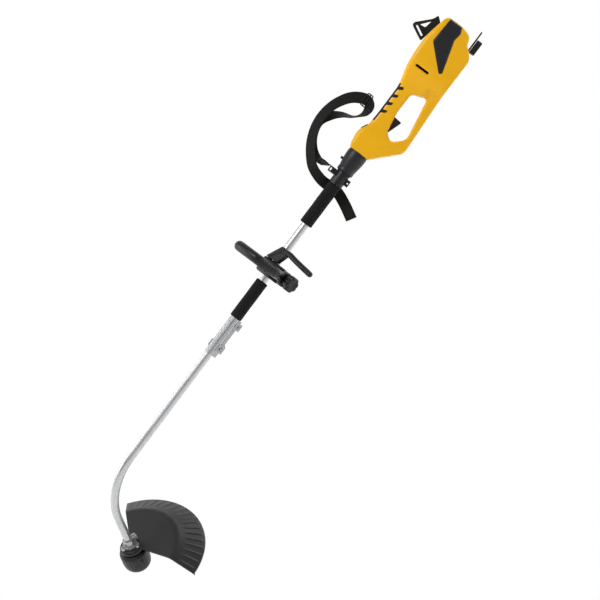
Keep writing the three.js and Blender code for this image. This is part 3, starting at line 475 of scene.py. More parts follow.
def halfWidth(p):
    fine = np.arange(-40, 470, 1.0)
    knots = np.array(housing["halfWidths"], float)
    raw = np.interp(fine, knots[:, 0], knots[:, 1])
    soft = np.convolve(raw, np.hanning(25) / np.hanning(25).sum(), "same")
    half = np.interp(p[:, 0], fine, soft)
    over = smoothStep(-p[:, 1], 40, 58) * smoothStep(p[:, 0], 72, 96) * (1 - smoothStep(p[:, 0], 222, 250))
    return half + (np.minimum(housing["bar"], half) - half) * over - 3.0 * ((p[:, 1] + 22) / 66) ** 2


def sideHeight(p):
    # half width less the drop of a quarter circle near the outline and near the opening
    drop = np.zeros(len(p))
    windowRadius = np.full(len(p), housing["windowEdge"])
    for outline, radius in ((sideOutline, edgeRadius(p)), (windowOutline, windowRadius)):
        short = np.clip(radius - distance(outline, p), 0, radius)
        drop = np.maximum(drop, radius - np.sqrt(np.maximum(radius ** 2 - short ** 2, 0)))
    return halfWidth(p) - drop


def rim(outline, normal, radius, rows=7):
    # wall from the seam up, then the quarter circle; rows of points round the outline
    turn = np.linspace(0, math.pi / 2, rows)
    rings = [np.column_stack([outline, np.full(len(outline), housing["seam"])])]
    wallTop = halfWidth(outline) - radius
    for part in (0.35, 0.7):
        rings.append(np.column_stack([outline, wallTop * part]))
    for t in turn:
        flat = outline + normal * (radius * (1 - math.cos(t)))[:, None]
        rings.append(np.column_stack([flat, halfWidth(flat) - radius * (1 - math.sin(t))]))
    return np.stack(rings)


def housingHalf(hand, side):
    outerRim = rim(sideOutline, inwards(sideOutline), edgeRadius(sideOutline))
    openRim = rim(windowOutline, -inwards(windowOutline),
                  np.full(len(windowOutline), housing["windowEdge"]))
    flat, faces = filled([outerRim[-1][:, :2], openRim[-1][:, :2], ventOutline], 5.0)
    middle = (np.column_stack([flat, halfWidth(flat)]), faces)
    bands = [(r.reshape(-1, 3), gridFaces(len(r), r.shape[1], closeColumns=True))
             for r in (outerRim, openRim)]
    points, faces = join(*bands, middle)
    local = np.stack([-points[:, 1], points[:, 2] * side, points[:, 0]], 1)
    made = piece(f"housing_shell_{hand}", local, faces, "body", "yellow_plastic", "frame",
                 [f"housing_{hand}"], sharp=50)
    thickened(made, [10, 0, 200], "body", housing["wall"])


hands = {"left": -1, "right": 1}
for hand, side in hands.items():
    housingHalf(hand, side)
print("housing made")


def onSide(flat, side, lift):
    # points on the housing's side, lifted off it
    height = (sideHeight(flat) + lift) * side
    return np.stack([-flat[:, 1], height, flat[:, 0]], 1)


sidePanel = {
    "outline": [(420.5, 17, 4), (420.5, -20, 4), (401, -27, 3), (378, -24, 3), (291, -50, 2.5),
                (285, -43, 2.5), (345, 20.5, 6)],
    "proud": 1.1, "depth": 1.6,
}


def panelCover(hand, side):
    outline = resampled(rounded(sidePanel["outline"], 5), 2.0)
    flat, faces = filled([outline], 3.0)
    edge = distance(outline, flat)
    lift = sidePanel["proud"] - 0.5 * (1 - smoothStep(edge, 0, 1.6))
    made = piece(f"side_cover_{hand}", onSide(flat, side, lift), faces, "body", "grey_panel", "frame",
                 [f"side_panel_{hand}"], sharp=50)
    thickened(made, [10, 0, 350], "body", sidePanel["depth"])


for hand, side in hands.items():
    panelCover(hand, side)
print("side covers made")


# these keep the shape of the frame's solid, with their edges rolled over
refinedPieces = {
    # node: (new name, edge radius in mm, finish)
    "trigger": ("trigger_blade", 1.6, "grey_panel"),
    "lock_off_button": ("lock_off_key", 1.4, "soft_grip"),
    "strap_bracket": ("strap_loop_bracket", 1.3, "black_plastic"),
    "cord_hook": ("cord_hook_plate", 1.0, "black_plastic"),
    "cord_clamp": ("cord_clamp_block", 1.4, "grey_panel"),
    "power_inlet": ("mains_inlet", 0.4, "black_plastic"),
    "strap_clamp": ("strap_band_clamp", 0.9, "black_plastic"),
    "handle_clamp_upper": ("loop_clamp_cap", 2.2, "black_plastic"),
    "handle_clamp_lower": ("loop_clamp_base", 2.2, "black_plastic"),
    "connector_body": ("connector_extrusion", 0.5, "cast_aluminium"),
    "end_flange": ("end_flange_casting", 0.7, "cast_aluminium"),
    "flange_bolt": ("flange_cap_screw", 0.4, "steel"),
    "connector_screw": ("connector_cap_screw", 0.4, "steel"),
    "connector_bolt": ("connector_hex_bolt", 0.4, "steel"),
    "handle_bolt": ("loop_hex_bolt", 0.5, "steel"),
    "head_base": ("head_base_disc", 1.0, "black_plastic"),
    "line_cutter": ("line_cutter_blade", 0.3, "steel"),
}


def refined(node, name, width, finish):
    # the node's own solid: doubles merged, flat faces made whole, edges turned to arcs
    source = frame["nodes"][node]
    mesh = source.data.copy()
    mesh.name = name
    bm = bmesh.new()
    bm.from_mesh(mesh)
    bmesh.ops.remove_doubles(bm, verts=bm.verts, dist=2e-6)
    bmesh.ops.dissolve_limit(bm, angle_limit=math.radians(1.5), verts=bm.verts, edges=bm.edges)
    bm.to_mesh(mesh)
    bm.free()
    made = placed(name, mesh)
    dress(made, finish, source["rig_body"], [node], sharp=38)
    modifier(made, "BEVEL", width=width / 1000, segments=3, limit_method="ANGLE",
             angle_limit=math.radians(38), harden_normals=False)


for node, (name, width, finish) in refinedPieces.items():
    refined(node, name, width, finish)
print("edges rolled on", len(refinedPieces), "pieces")


def turned(profile, sides=64, flutes=0, depth=0.0, above=0.0, wander=0.0):
    # a closed (radius, height) profile carried round an axis, less a row of scallops where its
    # radius is above a limit, plus a slow wander
    profile = np.asarray(profile, float)
    turn = np.linspace(0, 2 * math.pi, sides, endpoint=False)
    r = np.repeat(profile[:, 0][:, None], sides, 1)
    z = np.repeat(profile[:, 1][:, None], sides, 1)
    if flutes:
        scallop = np.abs(np.sin(turn * flutes / 2)) ** 0.8
        r = r - depth * (1 - scallop)[None] * smoothStep(r, above, above + 1.5)
    r = r + wander * (np.sin(3 * turn[None] + z / 9) + np.sin(2 * turn[None] - z / 23)) * (r > 12)
    points = np.stack([r * np.cos(turn), r * np.sin(turn), z], 2).reshape(-1, 3)
    return points, gridFaces(len(profile), sides, closeRows=True, closeColumns=True)


def sideways(shape, at, flip=1):
    # a turned shape laid with its axis along y, moved to a place
    points, faces = shape
    return np.stack([points[:, 0], points[:, 2] * flip, points[:, 1]], 1) + np.array(at, float), faces


def ringProfile(bore, radius, low, high, edge, steps=3, boreEdge=0.01):
    # a plain ring's profile, its outer edges rounded
    return rounded([(bore, low, boreEdge), (radius, low, edge), (radius, high, edge),
                    (bore, high, boreEdge)], steps)


tubeRadius = lowerTube["radius"]
onTube = tubeRadius + 0.3
grips = {
    "upper": {"radius": 17.5, "from": -146.3, "to": -19.3, "edge": 3.0},
    "lower": {"radius": 16.5, "from": -450.3, "to": -332.3, "edge": 3.0},
}
for name, grip in grips.items():
    outline = resampled(ringProfile(onTube, grip["radius"], grip["from"], grip["to"], grip["edge"], 5), 1.6)
    points, faces = turned(outline, 72, wander=0.09)
    piece(f"{name}_foam_grip", points, faces, "shaft", "foam", "frame", [f"{name}_grip"], sharp=60)

upperTube = {"from": stations["tubesMeet"] + 0.3, "to": stations["bodyFront"] + 36, "inner": 9.5}
points, faces = turned(ringProfile(upperTube["inner"], tubeRadius, upperTube["from"], upperTube["to"],
                                   0.4, boreEdge=0.3))
piece("upper_tube_drawn", points, faces, "shaft", "tube_aluminium", "frame", ["upper_tube"])

washer = {"bore": 11.4, "radius": 20.5, "from": 19.1, "to": 20.9}
points, faces = turned(ringProfile(washer["bore"], washer["radius"], washer["from"], washer["to"], 0.6))
piece("sleeve_washer", points, faces, "shaft", "black_plastic", "frame", sharp=45)

sleeve = {"front": 21.0, "top": 83.0, "narrow": 23.5, "wide": 28.0,
          "lug": ((-32, -6, 46), (-20, 6, 53))}  # the lug's low and high corners


def sleeveProfile():
    narrow, wide, front, top = sleeve["narrow"], sleeve["wide"], sleeve["front"], sleeve["top"]
    return rounded([
        (onTube, front), (narrow, front, 2.5), (narrow, 31, 1.5), (narrow - 0.9, 32.2, 0.8),
        (narrow, 33.4, 1.0), (wide - 0.4, 62, 8), (wide, 76, 3), (wide, 79, 0.6),
        (wide - 1.0, 79.6, 0.4), (wide - 1.0, top, 0.5), (onTube, top),
    ], 5)


def roundedBox(low, high, radius):
    # a cube's grid pushed out to a sphere's, then stretched, so edges and corners are arcs
    n = 5
    t = np.linspace(-1, 1, n)
    u, v = np.meshgrid(t, t, indexing="ij")
    one = np.ones_like(u)
    sides = [(one, u, v), (-one, v, u), (v, one, u), (u, -one, v), (u, v, one), (v, u, -one)]
    parts = []
    for side in sides:
        cube = np.stack([s.ravel() for s in side], 1)
        ball = cube / np.linalg.norm(cube, axis=1, keepdims=True)
        half = (np.array(high, float) - np.array(low, float)) / 2
        middle = (np.array(high, float) + np.array(low, float)) / 2
        r = min(radius, half.min())
        parts.append((middle + np.sign(cube) * (half - r) * (np.abs(cube) > 1e-9) + ball * r,
                      gridFaces(n, n)))
    return join(*parts)


points, faces = join(turned(sleeveProfile(), 80), roundedBox(*sleeve["lug"], 1.5))
piece("coupling_cone", points, faces, "shaft", "grey_panel", "frame", ["coupling_sleeve"], sharp=45)


straight = stations["tubesMeet"] - 0.3 - stations["bendStart"]


def lowerLine(run):
    # straight, then an arc, then straight: place and direction for each distance run
    radius, bend = lowerTube["bendRadius"], lowerTube["bend"]
    turn = np.clip((run - straight) / radius, 0, bend)
    past = np.maximum(run - straight - radius * bend, 0)
    x = radius * (1 - np.cos(turn)) + past * math.sin(bend)
    z = stations["bendStart"] + straight - np.minimum(run, straight)
    z = z - radius * np.sin(turn) - past * math.cos(bend)
    return np.stack([x, np.zeros_like(run), z], 1), turn


def lowerTubeShape(sides=48):
    # a circle carried down the shaft, round the bend and on to the flange
    arcEnd = straight + lowerTube["bendRadius"] * lowerTube["bend"]
    total = arcEnd + lowerTube["end"] - 2
    run = np.concatenate([np.linspace(0, straight, 8, endpoint=False),
                          np.linspace(straight, arcEnd, 64, endpoint=False), np.linspace(arcEnd, total, 6)])
    middle, turn = lowerLine(run)
    out = np.stack([np.cos(turn), np.zeros_like(turn), np.sin(turn)], 1)
    around = np.linspace(0, 2 * math.pi, sides, endpoint=False)
    spokes = (np.cos(around)[None, :, None] * out[:, None]
              + np.sin(around)[None, :, None] * np.array([0, 1, 0]))
    outer = middle[:, None] + tubeRadius * spokes
    inner = middle[:, None] + (tubeRadius - lowerTube["wall"]) * spokes
    grid = np.concatenate([outer, inner[::-1]])
    return grid.reshape(-1, 3), gridFaces(len(grid), sides, closeRows=True, closeColumns=True)


points, faces = lowerTubeShape()
piece("lower_tube_bent", points, faces, "lower", "tube_aluminium", "lower_shaft", ["lower_tube"])


def curveThrough(knots, count):
    # Catmull-Rom through the knots, ends reflected, evenly spaced in its own parameter
    k = np.asarray(knots, float)
    k = np.vstack([2 * k[0] - k[1], k, 2 * k[-1] - k[-2]])
    u = np.linspace(0, len(knots) - 1, count)
    i = np.minimum(u.astype(int), len(knots) - 2)
    t = (u - i)[:, None]
    a, b, c, d = k[i], k[i + 1], k[i + 2], k[i + 3]
    return 0.5 * (2 * b + (c - a) * t + (2 * a - 5 * b + 4 * c - d) * t ** 2
                  + (3 * b - a - 3 * c + d) * t ** 3)


def unit(v):
    return v / (np.linalg.norm(v, axis=-1, keepdims=True) + 1e-12)


def swept(line, wideRadius, deepRadius, acrossGuess, sides=32):
    # an ellipse carried along the line; its two radii may change from row to row; ends closed
    tangent = unit(np.gradient(line, axis=0))
    across = unit(acrossGuess - np.sum(acrossGuess * tangent, 1, keepdims=True) * tangent)
    deep = np.cross(tangent, across)
    turn = np.linspace(0, 2 * math.pi, sides, endpoint=False)
    grid = (line[:, None] + np.cos(turn)[None, :, None] * (across * wideRadius[:, None])[:, None]
            + np.sin(turn)[None, :, None] * (deep * deepRadius[:, None])[:, None])
    return grid.reshape(-1, 3), cappedFaces(len(line), sides)


def prism(outline, low, high):
    # an (along, y) outline drawn out along x, its ends filled
    level = np.ones(len(outline))
    points = np.concatenate([np.stack([level * x, outline[:, 1], outline[:, 0]], 1) for x in (low, high)])
    return points, cappedFaces(2, len(outline))


loop = {"reach": 110, "halfSpan": 56, "section": 14, "legWidth": 9.8, "leg": 39.3, "boltDrop": 18,
        "ear": 21, "earLow": 29.3, "earHigh": 49.3, "rows": 120}


def loopHandle():
    span, reach, rows = loop["halfSpan"], loop["reach"], loop["rows"]
    half = [(-loop["leg"], -loop["boltDrop"] + 2), (-span + 15, 12), (-span, 44),
            (-span + 12, reach - 12), (-span + 33, reach)]
    knots = half + [(-y, up) for y, up in half[::-1]]
    line = curveThrough([(-up, y, 0) for y, up in knots], rows)
    wide = loop["legWidth"] + (loop["section"] - loop["legWidth"]) * smoothStep(-line[:, 0], -2, 34)
    deep = np.full(rows, float(loop["section"]))
    bar = swept(line, deep, wide, np.tile([0.0, 0, 1], (rows, 1)), 36)
    ears = []
    for side in (-1, 1):
        profile = rounded([(0.01, loop["earLow"]), (loop["ear"], loop["earLow"], 2.5),
                           (loop["ear"], loop["earHigh"], 3.5), (0.01, loop["earHigh"])], 5)
        ears.append(sideways(turned(profile, 64), (loop["boltDrop"], 0, 0), side))
    points, faces = join(bar, *ears)
    made = piece("loop_handle_moulding", points, faces, "front", "black_plastic", "loop",
                 ["loop_handle"], sharp=60)
    runTogether(made, 1.4, 6)


loopHandle()
barrier = {"set": 46, "length": 138, "radius": 8.3, "rake": 12, "height": 16, "root": 22.3,
           "webHalf": 6.5, "rows": 110}


def barrierBar():
    # a swept bar with a round end, and a flat web at its root
    height, root, out, thick = barrier["height"], barrier["root"], barrier["set"], barrier["radius"]
    bends = [(16, root), (12, root + 8), (1, out - 3), (-14, out + 9), (-36, out + 13), (-70, out + 9),
             (-barrier["length"] + 2 - thick, out - barrier["rake"] + 14)]
    line = curveThrough([(-height, y, along) for y, along in bends], barrier["rows"])
    run = travelled(line)
    left = np.clip((run[-1] - run) / thick, 0, 1)
    radius = thick * np.sqrt(np.maximum(1 - (1 - left) ** 2, 0.0004))
    bar = swept(line, radius, radius * 0.94, np.tile([1.0, 0, 0], (barrier["rows"], 1)), 28)
    outline = resampled(rounded([(22.6, 26, 2), (22.6, -21, 3), (46, -32, 5), (58, -35, 5),
                                 (66, -14, 6), (67, -3, 6)], 5), 1.5)
    web = prism(outline, -height - barrier["webHalf"], -height + barrier["webHalf"])
    points, faces = join(bar, web)
    made = piece("barrier_arm", points, faces, "front", "black_plastic", "handle_clamp",
                 ["barrier_bar"], sharp=60)
    runTogether(made, 1.3, 8)


barrierBar()
print("handles made")

knobs = {"radius": 22, "hub": 12, "length": 30, "lobes": 8, "bore": 4.4, "dish": 1.6}


def knobProfile():
    radius, hub, top, bore = knobs["radius"], knobs["hub"], knobs["length"], knobs["bore"]
    dish = top - knobs["dish"]
    return rounded([
        (bore, 0), (hub, 0, 0.8), (hub, 8.5, 2.5), (radius - 3, 10.5, 1.5), (radius, 13.5, 2.5),
        (radius, top - 3, 3.5), (radius - 5, top, 3), (11, top - 0.2, 1), (9.5, dish, 1),
        (0.01, dish), (0.01, top - 5), (bore, top - 5),
    ], 4)


starKnob = turned(knobProfile(), 128, flutes=knobs["lobes"], depth=2.6, above=14)
knobPlaces = {
    "handle_knob": ("loop_star_knob", "front", (loop["boltDrop"], -49.6, 0), -1, "loop_knob"),
    "connector_knob": ("connector_star_knob", "link", (17, 13.8, -539.6), 1, "joint_knob"),
}
for node, (name, where, at, flip, body) in knobPlaces.items():
    points, faces = sideways(starKnob, at, flip)
    piece(name, points, faces, where, "black_plastic", body, [node], sharp=42)
print("knobs made")


# a sector whose height falls from plate to skirt, with radial ribs pressed into the skirt
guard = {"plate": 127, "rim": 195, "top": -0.3, "drop": 40, "wall": 3.5, "from": -68, "to": 63,
         "fold": 9.0, "lip": 4.5, "inner": 8, "boss": 29, "ribs": 18, "ribHeight": 1.9}


def guardHeight(r):
    # flat plate, a soft fold at its edge and a straight skirt
    slope = guard["drop"] / (guard["rim"] - guard["plate"])
    over, fold = r - guard["plate"], guard["fold"]
    soft = np.where(over < -fold, 0, np.where(over > fold, over, (over + fold) ** 2 / (4 * fold)))
    return guard["top"] - slope * soft


def guardShape():
    # rings are closest at the fold, and a lip turns down at the rim and at both ends
    plate, edge = guard["plate"], guard["rim"]
    r = np.concatenate([np.linspace(guard["inner"], plate - 10, 26, endpoint=False),
                        np.linspace(plate - 10, plate + 10, 12, endpoint=False),
                        np.linspace(plate + 10, edge - 2, 34), [edge - 0.9, edge - 0.1, edge]])
    turn = np.radians(np.linspace(guard["from"], guard["to"], 420))
    rr, tt = np.meshgrid(r, turn, indexing="ij")
    cycle = (tt - turn[0]) / (turn[-1] - turn[0]) * guard["ribs"]
    ridge = np.exp(-(((cycle - np.floor(cycle)) - 0.5) / 0.13) ** 2)
    ridge *= smoothStep(rr, plate + 16, plate + 34) * (1 - smoothStep(rr, edge - 9, edge - 2))
    z = guardHeight(rr) + guard["ribHeight"] * ridge
    z[-2] -= 0.8
    z[-1] -= 3.0
    left, right = z[:, :1] - guard["lip"], z[:, -1:] - guard["lip"]
    x, y = rr * np.cos(tt), rr * np.sin(tt)
    x = np.hstack([x[:, :1], x, x[:, -1:]])
    y = np.hstack([y[:, :1], y, y[:, -1:]])
    z = np.hstack([left, z, right])
    return np.stack([x, y, z], 2).reshape(-1, 3), gridFaces(len(r), len(turn) + 2)


points, faces = guardShape()
made = piece("guard_shield", points, faces, "head", "guard_plastic", "lower_shaft", ["guard"],
             sharp=48, outward=False)
thickened(made, [90, 0, -60], "head", guard["wall"])

points, faces = turned(rounded([(7, -4.2), (guard["boss"], -4.2, 0.5), (guard["boss"], 0.0, 1.2),
                                (7, 0.0)], 4), 96)
piece("guard_boss", points, faces, "head", "guard_plastic", "lower_shaft", sharp=45)


spool = {"radius": 39, "top": -17.6, "end": -79.6, "bore": 5.3, "button": 22, "buttonEnd": -87.6,
         "buttonTop": -68.1}


def cupOutline():
    r, top, end, bore = spool["radius"], spool["top"], spool["end"], spool["bore"]
    mouth = spool["button"] + 0.8
    return rounded([
        (bore, top), (r - 6, top, 3), (r - 1, top - 5, 3), (r, top - 14, 4), (r, end + 24, 12),
        (r - 2.5, end + 10, 8), (r - 9, end + 1, 5), (r - 13, end, 1), (mouth, end, 0.6),
        (mouth, end + 3), (r - 12, end + 3, 3), (r - 3, end + 22, 6), (r - 3, top - 8, 3),
        (r - 8, top - 3, 2), (bore, top - 3),
    ], 5)


points, faces = turned(resampled(cupOutline(), 1.3), 144, flutes=24, depth=0.9, above=spool["radius"] - 1.6)
piece("spool_cup", points, faces, "head", "spool_plastic", "spool", ["spool_housing"], sharp=45)


def buttonOutline():
    r, end, top = spool["button"], spool["buttonEnd"], spool["buttonTop"]
    return rounded([
        (0.01, end + 1.4), (5, end + 1.2, 1), (7, end, 1), (r - 8, end, 1.5), (r - 3, end + 2, 2.5),
        (r, end + 6.5, 2), (r, top), (r - 2.5, top), (r - 2.5, end + 7, 2), (r - 8, end + 2.8, 1.5),
        (0.01, end + 3.4),
    ], 5)


points, faces = turned(resampled(buttonOutline(), 0.9), 96, flutes=16, depth=0.6, above=19)
piece("bump_button_cap", points, faces, "head", "black_plastic", "bump", ["bump_button"], sharp=42)

eyelet = {"radius": 4.4, "bore": 2.6, "height": -36.0}
cup, bore, edge = spool["radius"], eyelet["bore"], eyelet["radius"]
eyeletRing = turned(rounded([(bore, cup - 3), (edge, cup - 3), (edge, cup + 0.7, 0.5),
                             (bore + 0.8, cup + 1.2, 0.6), (bore, cup + 0.4, 0.5)], 4), 40)
for hand, side in hands.items():
    points, faces = sideways(eyeletRing, (0, 0, eyelet["height"]), side)
    piece(f"line_eyelet_{hand}", points, faces, "head", "spool_plastic", "spool")
print("cutting head made")


# route, in the shaft's frame: along, up, right, then the direction of the strap's width there
strap = {"width": 30.0, "thickness": 2.2, "rows": 420,
         "route": [
             (16, 41, 2, 0.1, 0, 1), (13, 56, 4, -0.3, 0, 1), (10, 74, 8, -0.6, -0.1, 0.8),
             (20, 100, 10, -0.75, 0.45, 0.57), (48, 122, 9, -0.45, 0.68, 0.57),
             (86, 132, 8, -0.1, 0.82, 0.57), (118, 118, 8, 0.3, 0.75, 0.57),
             (138, 96, 6, 0.4, 0.4, 0.8), (153, 67, 4, 0.2, 0.1, 1), (177, 50, 0, -0.3, 0.6, 0.75),
             (200, 52, -4, -0.6, 0.6, 0.5), (206, 73, -6, -0.9, -0.1, 0.2),
             (184, 106, -5, -0.6, -0.7, -0.2), (138, 130, -4, -0.1, -0.85, -0.5),
             (86, 134, -2, 0.25, -0.78, -0.57), (34, 117, 0, 0.55, -0.6, -0.57),
             (-10, 82, 4, 0.75, -0.35, -0.57), (-27, 44, 13, 0.85, -0.1, -0.4),
             (-29, 10, 23, 0.9, 0.05, -0.1), (-29, -16, 24, 0.9, -0.1, 0.1),
             (-43, -50, 19, 0.85, -0.4, 0.1), (-64, -88, 12, 0.8, -0.4, 0.1),
         ]}
route = np.array(strap["route"], float)
strapLine = curveThrough(np.stack([-route[:, 1], route[:, 2], route[:, 0]], 1), strap["rows"])
strapAcross = curveThrough(np.stack([-route[:, 4], route[:, 5], route[:, 3]], 1), strap["rows"])
strapRun = travelled(strapLine)
tangent = unit(np.gradient(strapLine, axis=0))
strapSide = unit(strapAcross - np.sum(strapAcross * tangent, 1, keepdims=True) * tangent)
strapOut = np.cross(tangent, strapSide)


def bandShape(low, high, half, thick, lift=0.0):
    # rows low to high of the strap; section: straight faces with edges rolled into half circles
    rows = np.arange(low, high)
    t = np.linspace(-math.pi / 2, math.pi / 2, 5)
    flat = np.linspace(-1, 1, 9)[1:-1] * (half - thick / 2)
    u = np.concatenate([half - thick / 2 + np.cos(t) * thick / 2, flat[::-1],
                        -(half - thick / 2) - np.cos(t) * thick / 2, flat])
    v = np.concatenate([np.sin(t) * thick / 2, np.full(len(flat), thick / 2),
                        -np.sin(t) * thick / 2, np.full(len(flat), -thick / 2)]) + lift
    grid = (strapLine[rows][:, None] + strapSide[rows][:, None] * u[None, :, None]
            + strapOut[rows][:, None] * v[None, :, None])
    uv = np.stack(np.meshgrid(strapRun[rows], u, indexing="ij"), 2)[..., ::-1].reshape(-1, 2)
    return grid.reshape(-1, 3), cappedFaces(len(rows), len(u)), uv


points, faces, uv = bandShape(0, strap["rows"], strap["width"] / 2, strap["thickness"])
shoulderStrap = piece("shoulder_strap_webbing", points, faces, "shaft", "webbing", "frame",
                      ["shoulder_strap"], uv=uv, sharp=60)

# a ladder slider goes round the strap, and both ends have a hem with rows of stitches
slider = {"row": 214, "bar": 3.2, "barLift": 2.7, "halfWidth": 18.5, "halfDepth": 3.6, "length": 17.0}


def onStrap(row, across, off, ahead):
    # a point in the strap's own frame at one of its rows
    ahead = np.asarray(ahead, float)[..., None] * tangent[row]
    return strapLine[row] + ahead + np.asarray(across, float)[..., None] * strapSide[row] \
        + np.asarray(off, float)[..., None] * strapOut[row]


def sliderShape():
    # a rounded loop round the band, and a cross bar over it
    turn = np.linspace(0, 2 * math.pi, 73)[:-1]
    square = 6.0  # power of the superellipse that the ring follows
    size = np.array([slider["halfWidth"], slider["length"] / 2])
    way = np.stack([np.cos(turn), np.sin(turn)], 1)
    centre = np.sign(way) * np.abs(way) ** (2 / square) * size
    out = unit(np.sign(way) * np.abs(centre) ** (square - 1) / size ** square)
    around = np.linspace(0, 2 * math.pi, 13)[:-1]
    bar = slider["bar"] / 2
    ring = centre[:, None] + np.cos(around)[None, :, None] * bar * out[:, None]
    lift = np.repeat(np.sin(around)[None] * bar * 1.2, len(turn), 0) + slider["halfDepth"] * 0.45
    grid = onStrap(slider["row"], ring[..., 0], lift, ring[..., 1])
    t, angle = np.meshgrid(np.linspace(-1, 1, 20), around, indexing="ij")
    over = onStrap(slider["row"], t * (slider["halfWidth"] - 0.6),
                   np.sin(angle) * bar + slider["barLift"], np.cos(angle) * bar)
    return join((grid.reshape(-1, 3), gridFaces(*lift.shape, True, True)),
                (over.reshape(-1, 3), cappedFaces(*t.shape)))


points, faces = sliderShape()
piece("strap_slider", points, faces, "shaft", "black_plastic", "frame", sharp=60)

hems = {"tail_hem": (388, 419, -1), "eye_hem": (4, 34, 1)}
for name, (low, high, face) in hems.items():
    points, faces, uv = bandShape(low, high, strap["width"] / 2 - 0.3, strap["thickness"] * 0.9,
                                  face * strap["thickness"] * 0.92)
    piece(name, points, faces, "shaft", "webbing", "frame", uv=uv, sharp=60)


def stitchShape(low, high, face, rows=(-12, -4, 4, 12), pitch=3.0):
    # short thread beads in rows along the hem, each a stretched ball
    at = np.arange(strapRun[low] + 2, strapRun[high - 1] - 2, pitch)
    index = np.clip(np.searchsorted(strapRun, at), 0, len(strapRun) - 1)
    lat, lon = np.meshgrid(np.linspace(0.15, math.pi - 0.15, 5), np.linspace(0, 2 * math.pi, 7)[:-1],
                           indexing="ij")
    ball = np.stack([np.sin(lat) * np.cos(lon) * 0.5, np.sin(lat) * np.sin(lon) * 0.35, np.cos(lat) * 1.1], 2)
    shapes = []
    for across in rows:
        for i in index:
            off = ball[..., 1] + face * strap["thickness"] * 1.4
            grid = onStrap(i, ball[..., 0] + across, off, ball[..., 2])
            shapes.append((grid.reshape(-1, 3), cappedFaces(*lat.shape)))
    return join(*shapes)


for name, (low, high, face) in hems.items():
    points, faces = stitchShape(low, high, face)
    piece(name.replace("hem", "stitches"), points, faces, "shaft", "soft_grip", "frame")
print("strap made, cut length", round(float(strapRun[-1])), "mm")


# the grip inlay is a spine over the handle's back and slanted fingers down both sides
inlay = {"from": 92, "to": 210, "lift": 0.45, "reach": 4.5, "first": 117, "pitch": 24.5, "count": 4,
         "length": 16.5, "lean": 9, "width": 10, "wall": 0.9}
topPoints = sideOutline[(sideOutline[:, 1] > 10) & (sideOutline[:, 0] > 1)]
topPoints = topPoints[np.argsort(topPoints[:, 0])]


def spineShape():
    s = np.linspace(inlay["from"], inlay["to"], 90)
    top = np.interp(s, topPoints[:, 0], topPoints[:, 1])
    flat = np.stack([s, top], 1)
    r = edgeRadius(flat)
    wall = halfWidth(flat) - r
    turn = np.linspace(0, math.acos(1 - inlay["reach"] / 11.0), 10)
    quarter = np.stack([np.outer(r, 1 - np.cos(turn)), wall[:, None] + np.outer(r, np.sin(turn))], 2)
    across = wall[:, None] * np.linspace(1, -1, 9)[None, 1:-1]
    crown = np.stack([np.zeros_like(across), across], 2)
    mirrored = quarter * np.array([1, -1])
    section = np.concatenate([quarter[:, ::-1], crown, mirrored], 1)
    up = top[:, None] - section[..., 0] + inlay["lift"]
    y = section[..., 1] * (1 + inlay["lift"] / 19)
    ends = smoothStep(s, inlay["from"], inlay["from"] + 2) * (1 - smoothStep(s, inlay["to"] - 2, inlay["to"]))
    up = up - 0.4 * (1 - ends)[:, None]
    grid = np.stack([-up, y, np.repeat(s[:, None], up.shape[1], 1)], 2)
    return grid.reshape(-1, 3), gridFaces(*up.shape)


def fingerShape(start, side):
    across, down = np.meshgrid(np.linspace(0, 1, 12), np.linspace(0, 1, 14), indexing="ij")
    narrow = 1 - 0.35 * down ** 3
    a = start + inlay["lean"] * down * 0.8 + inlay["width"] * (0.5 + (across - 0.5) * narrow)
    top = np.interp(a, topPoints[:, 0], topPoints[:, 1])
    b = top - 0.35 - (inlay["length"] - 0.35) * down
    flat = np.stack([a.ravel(), b.ravel()], 1)
    edge = np.minimum(np.minimum(across, 1 - across) * inlay["width"], (1 - down) * inlay["length"]).ravel()
    return onSide(flat, side, inlay["lift"] - 0.3 * (1 - smoothStep(edge, 0, 1.2))), gridFaces(12, 14)


inlayShapes = [spineShape()] + [fingerShape(inlay["first"] + i * inlay["pitch"], side)
                                for side in (-1, 1) for i in range(inlay["count"])]
for i, (points, faces) in enumerate(inlayShapes):
    name = "grip_spine" if i == 0 else f"grip_finger_{i}"
    made = piece(name, points, faces, "body", "soft_grip", "frame", ["grip_inlay"] if i == 0 else (),
                 sharp=55, outward=False)
    thickened(made, [10, 0, 160], "body", inlay["wall"])
print("grip inlay made")


view = {"at": (-0.102, -6.0, -0.314), "lens": 138.5, "sensor": 36, "reach": 50}
camera = placed("camera", bpy.data.cameras.new("camera"))
camera.data.lens = view["lens"]
camera.data.sensor_width = view["sensor"]
camera.data.clip_end = view["reach"]
camera.location = view["at"]
camera.rotation_euler = (math.radians(90), 0, 0)
bpy.context.scene.camera = camera

lights = {
    "key": {"at": (-2.4, -2.6, 2.6), "size": 1.6, "power": 105},
    "fill": {"at": (3.2, -3.0, 0.4), "size": 2.4, "power": 22},
    "rim": {"at": (1.6, 1.4, 2.4), "size": 1.4, "power": 40},
    "wallLeft": {"at": (-3.2, 0.8, 0.6), "size": 2.4, "power": 62, "aim": (-0.8, 3.0, -0.3)},
    "wallRight": {"at": (3.2, 0.8, 0.6), "size": 2.4, "power": 62, "aim": (0.8, 3.0, -0.3)},
}
middle = (0, 0, -0.3)  # what a light without an aim points at
for name, light in lights.items():
    lamp = bpy.data.lights.new(name, "AREA")
    lamp.size = light["size"]
    lamp.energy = light["power"]
    holder = placed(name, lamp)
    holder.location = light["at"]
    aim = Vector(light.get("aim", middle)) - Vector(light["at"])
    holder.rotation_euler = aim.to_track_quat("-Z", "Y").to_euler()

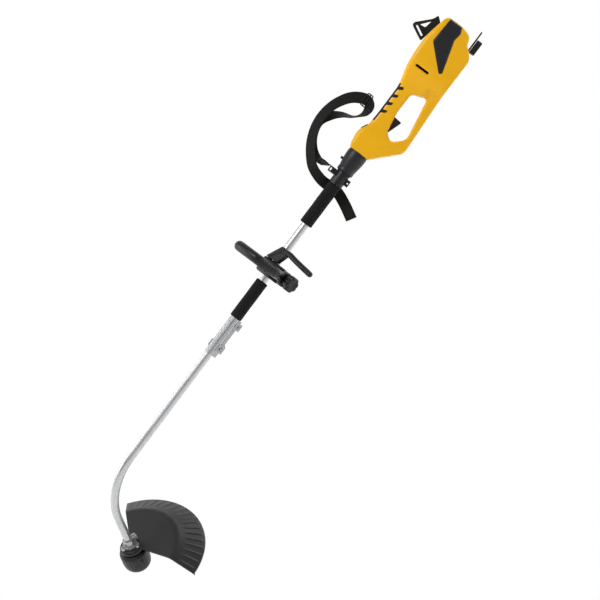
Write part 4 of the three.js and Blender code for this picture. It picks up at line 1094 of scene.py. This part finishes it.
studio = {"floor": -1.2, "back": 3.0, "half": 9.0, "front": -9.0, "top": 8.0, "curve": 1.2, "glow": 0.34}


def studioWorld():
    # an even glow lights the tool, and the camera sees plain white from every side
    world = bpy.data.worlds.new("studio")
    world.use_nodes = True
    tree = world.node_tree
    sky = Shader(tree)
    white = (1, 1, 1, 1)
    glow = sky.node("ShaderNodeBackground", {}, {"Color": white, "Strength": studio["glow"]})
    plain = sky.node("ShaderNodeBackground", {}, {"Color": white, "Strength": 1.0})
    seen = sky.node("ShaderNodeLightPath")
    chosen = sky.node("ShaderNodeMixShader", {}, {0: seen, 1: glow, 2: plain})
    tree.nodes.remove(tree.nodes["Background"])
    tree.links.new(chosen.socket, tree.nodes["World Output"].inputs["Surface"])
    world.cycles.sampling_method = "NONE"  # an even sky needs no sampling of its own
    return world


bpy.context.scene.world = studioWorld()
bpy.context.scene.view_settings.view_transform = "Standard"


def backdrop():
    # floor, quarter circle and wall in one sheet
    t = np.linspace(0, math.pi / 2, 16)
    c = studio["curve"]
    profile = np.vstack([[studio["front"], studio["floor"]],
                         np.column_stack([studio["back"] - c + c * np.sin(t),
                                          studio["floor"] + c - c * np.cos(t)]),
                         [studio["back"], studio["top"]]])
    x = np.array([-studio["half"], studio["half"]])
    grid = np.stack([np.column_stack([np.full(len(profile), v), profile]) for v in x])
    mesh = bpy.data.meshes.new("backdrop")
    mesh.from_pydata(grid.reshape(-1, 3).tolist(), [], gridFaces(2, len(profile)).tolist())
    mesh.shade_smooth()
    made = placed("backdrop", mesh)
    paper, surface, shader, place = material("paper", Roughness=0.9)
    feed(shader, surface,
         Base_Color=shader.tint(shader.noise(place, 2.0), (0.86, 0.86, 0.86), (0.9, 0.9, 0.9)))
    mesh.materials.append(paper)
    made.visible_camera = False  # it only bounces light, since the white behind the tool is the world's


backdrop()
print("studio made")

nodeSlots = {row["node"]: row["material_slot"] for row in frame["record"]["subparts"]}
for name, node in frame["nodes"].items():
    node.data.materials.clear()
    node.data.materials.append(finishes[nodeSlots[name]])
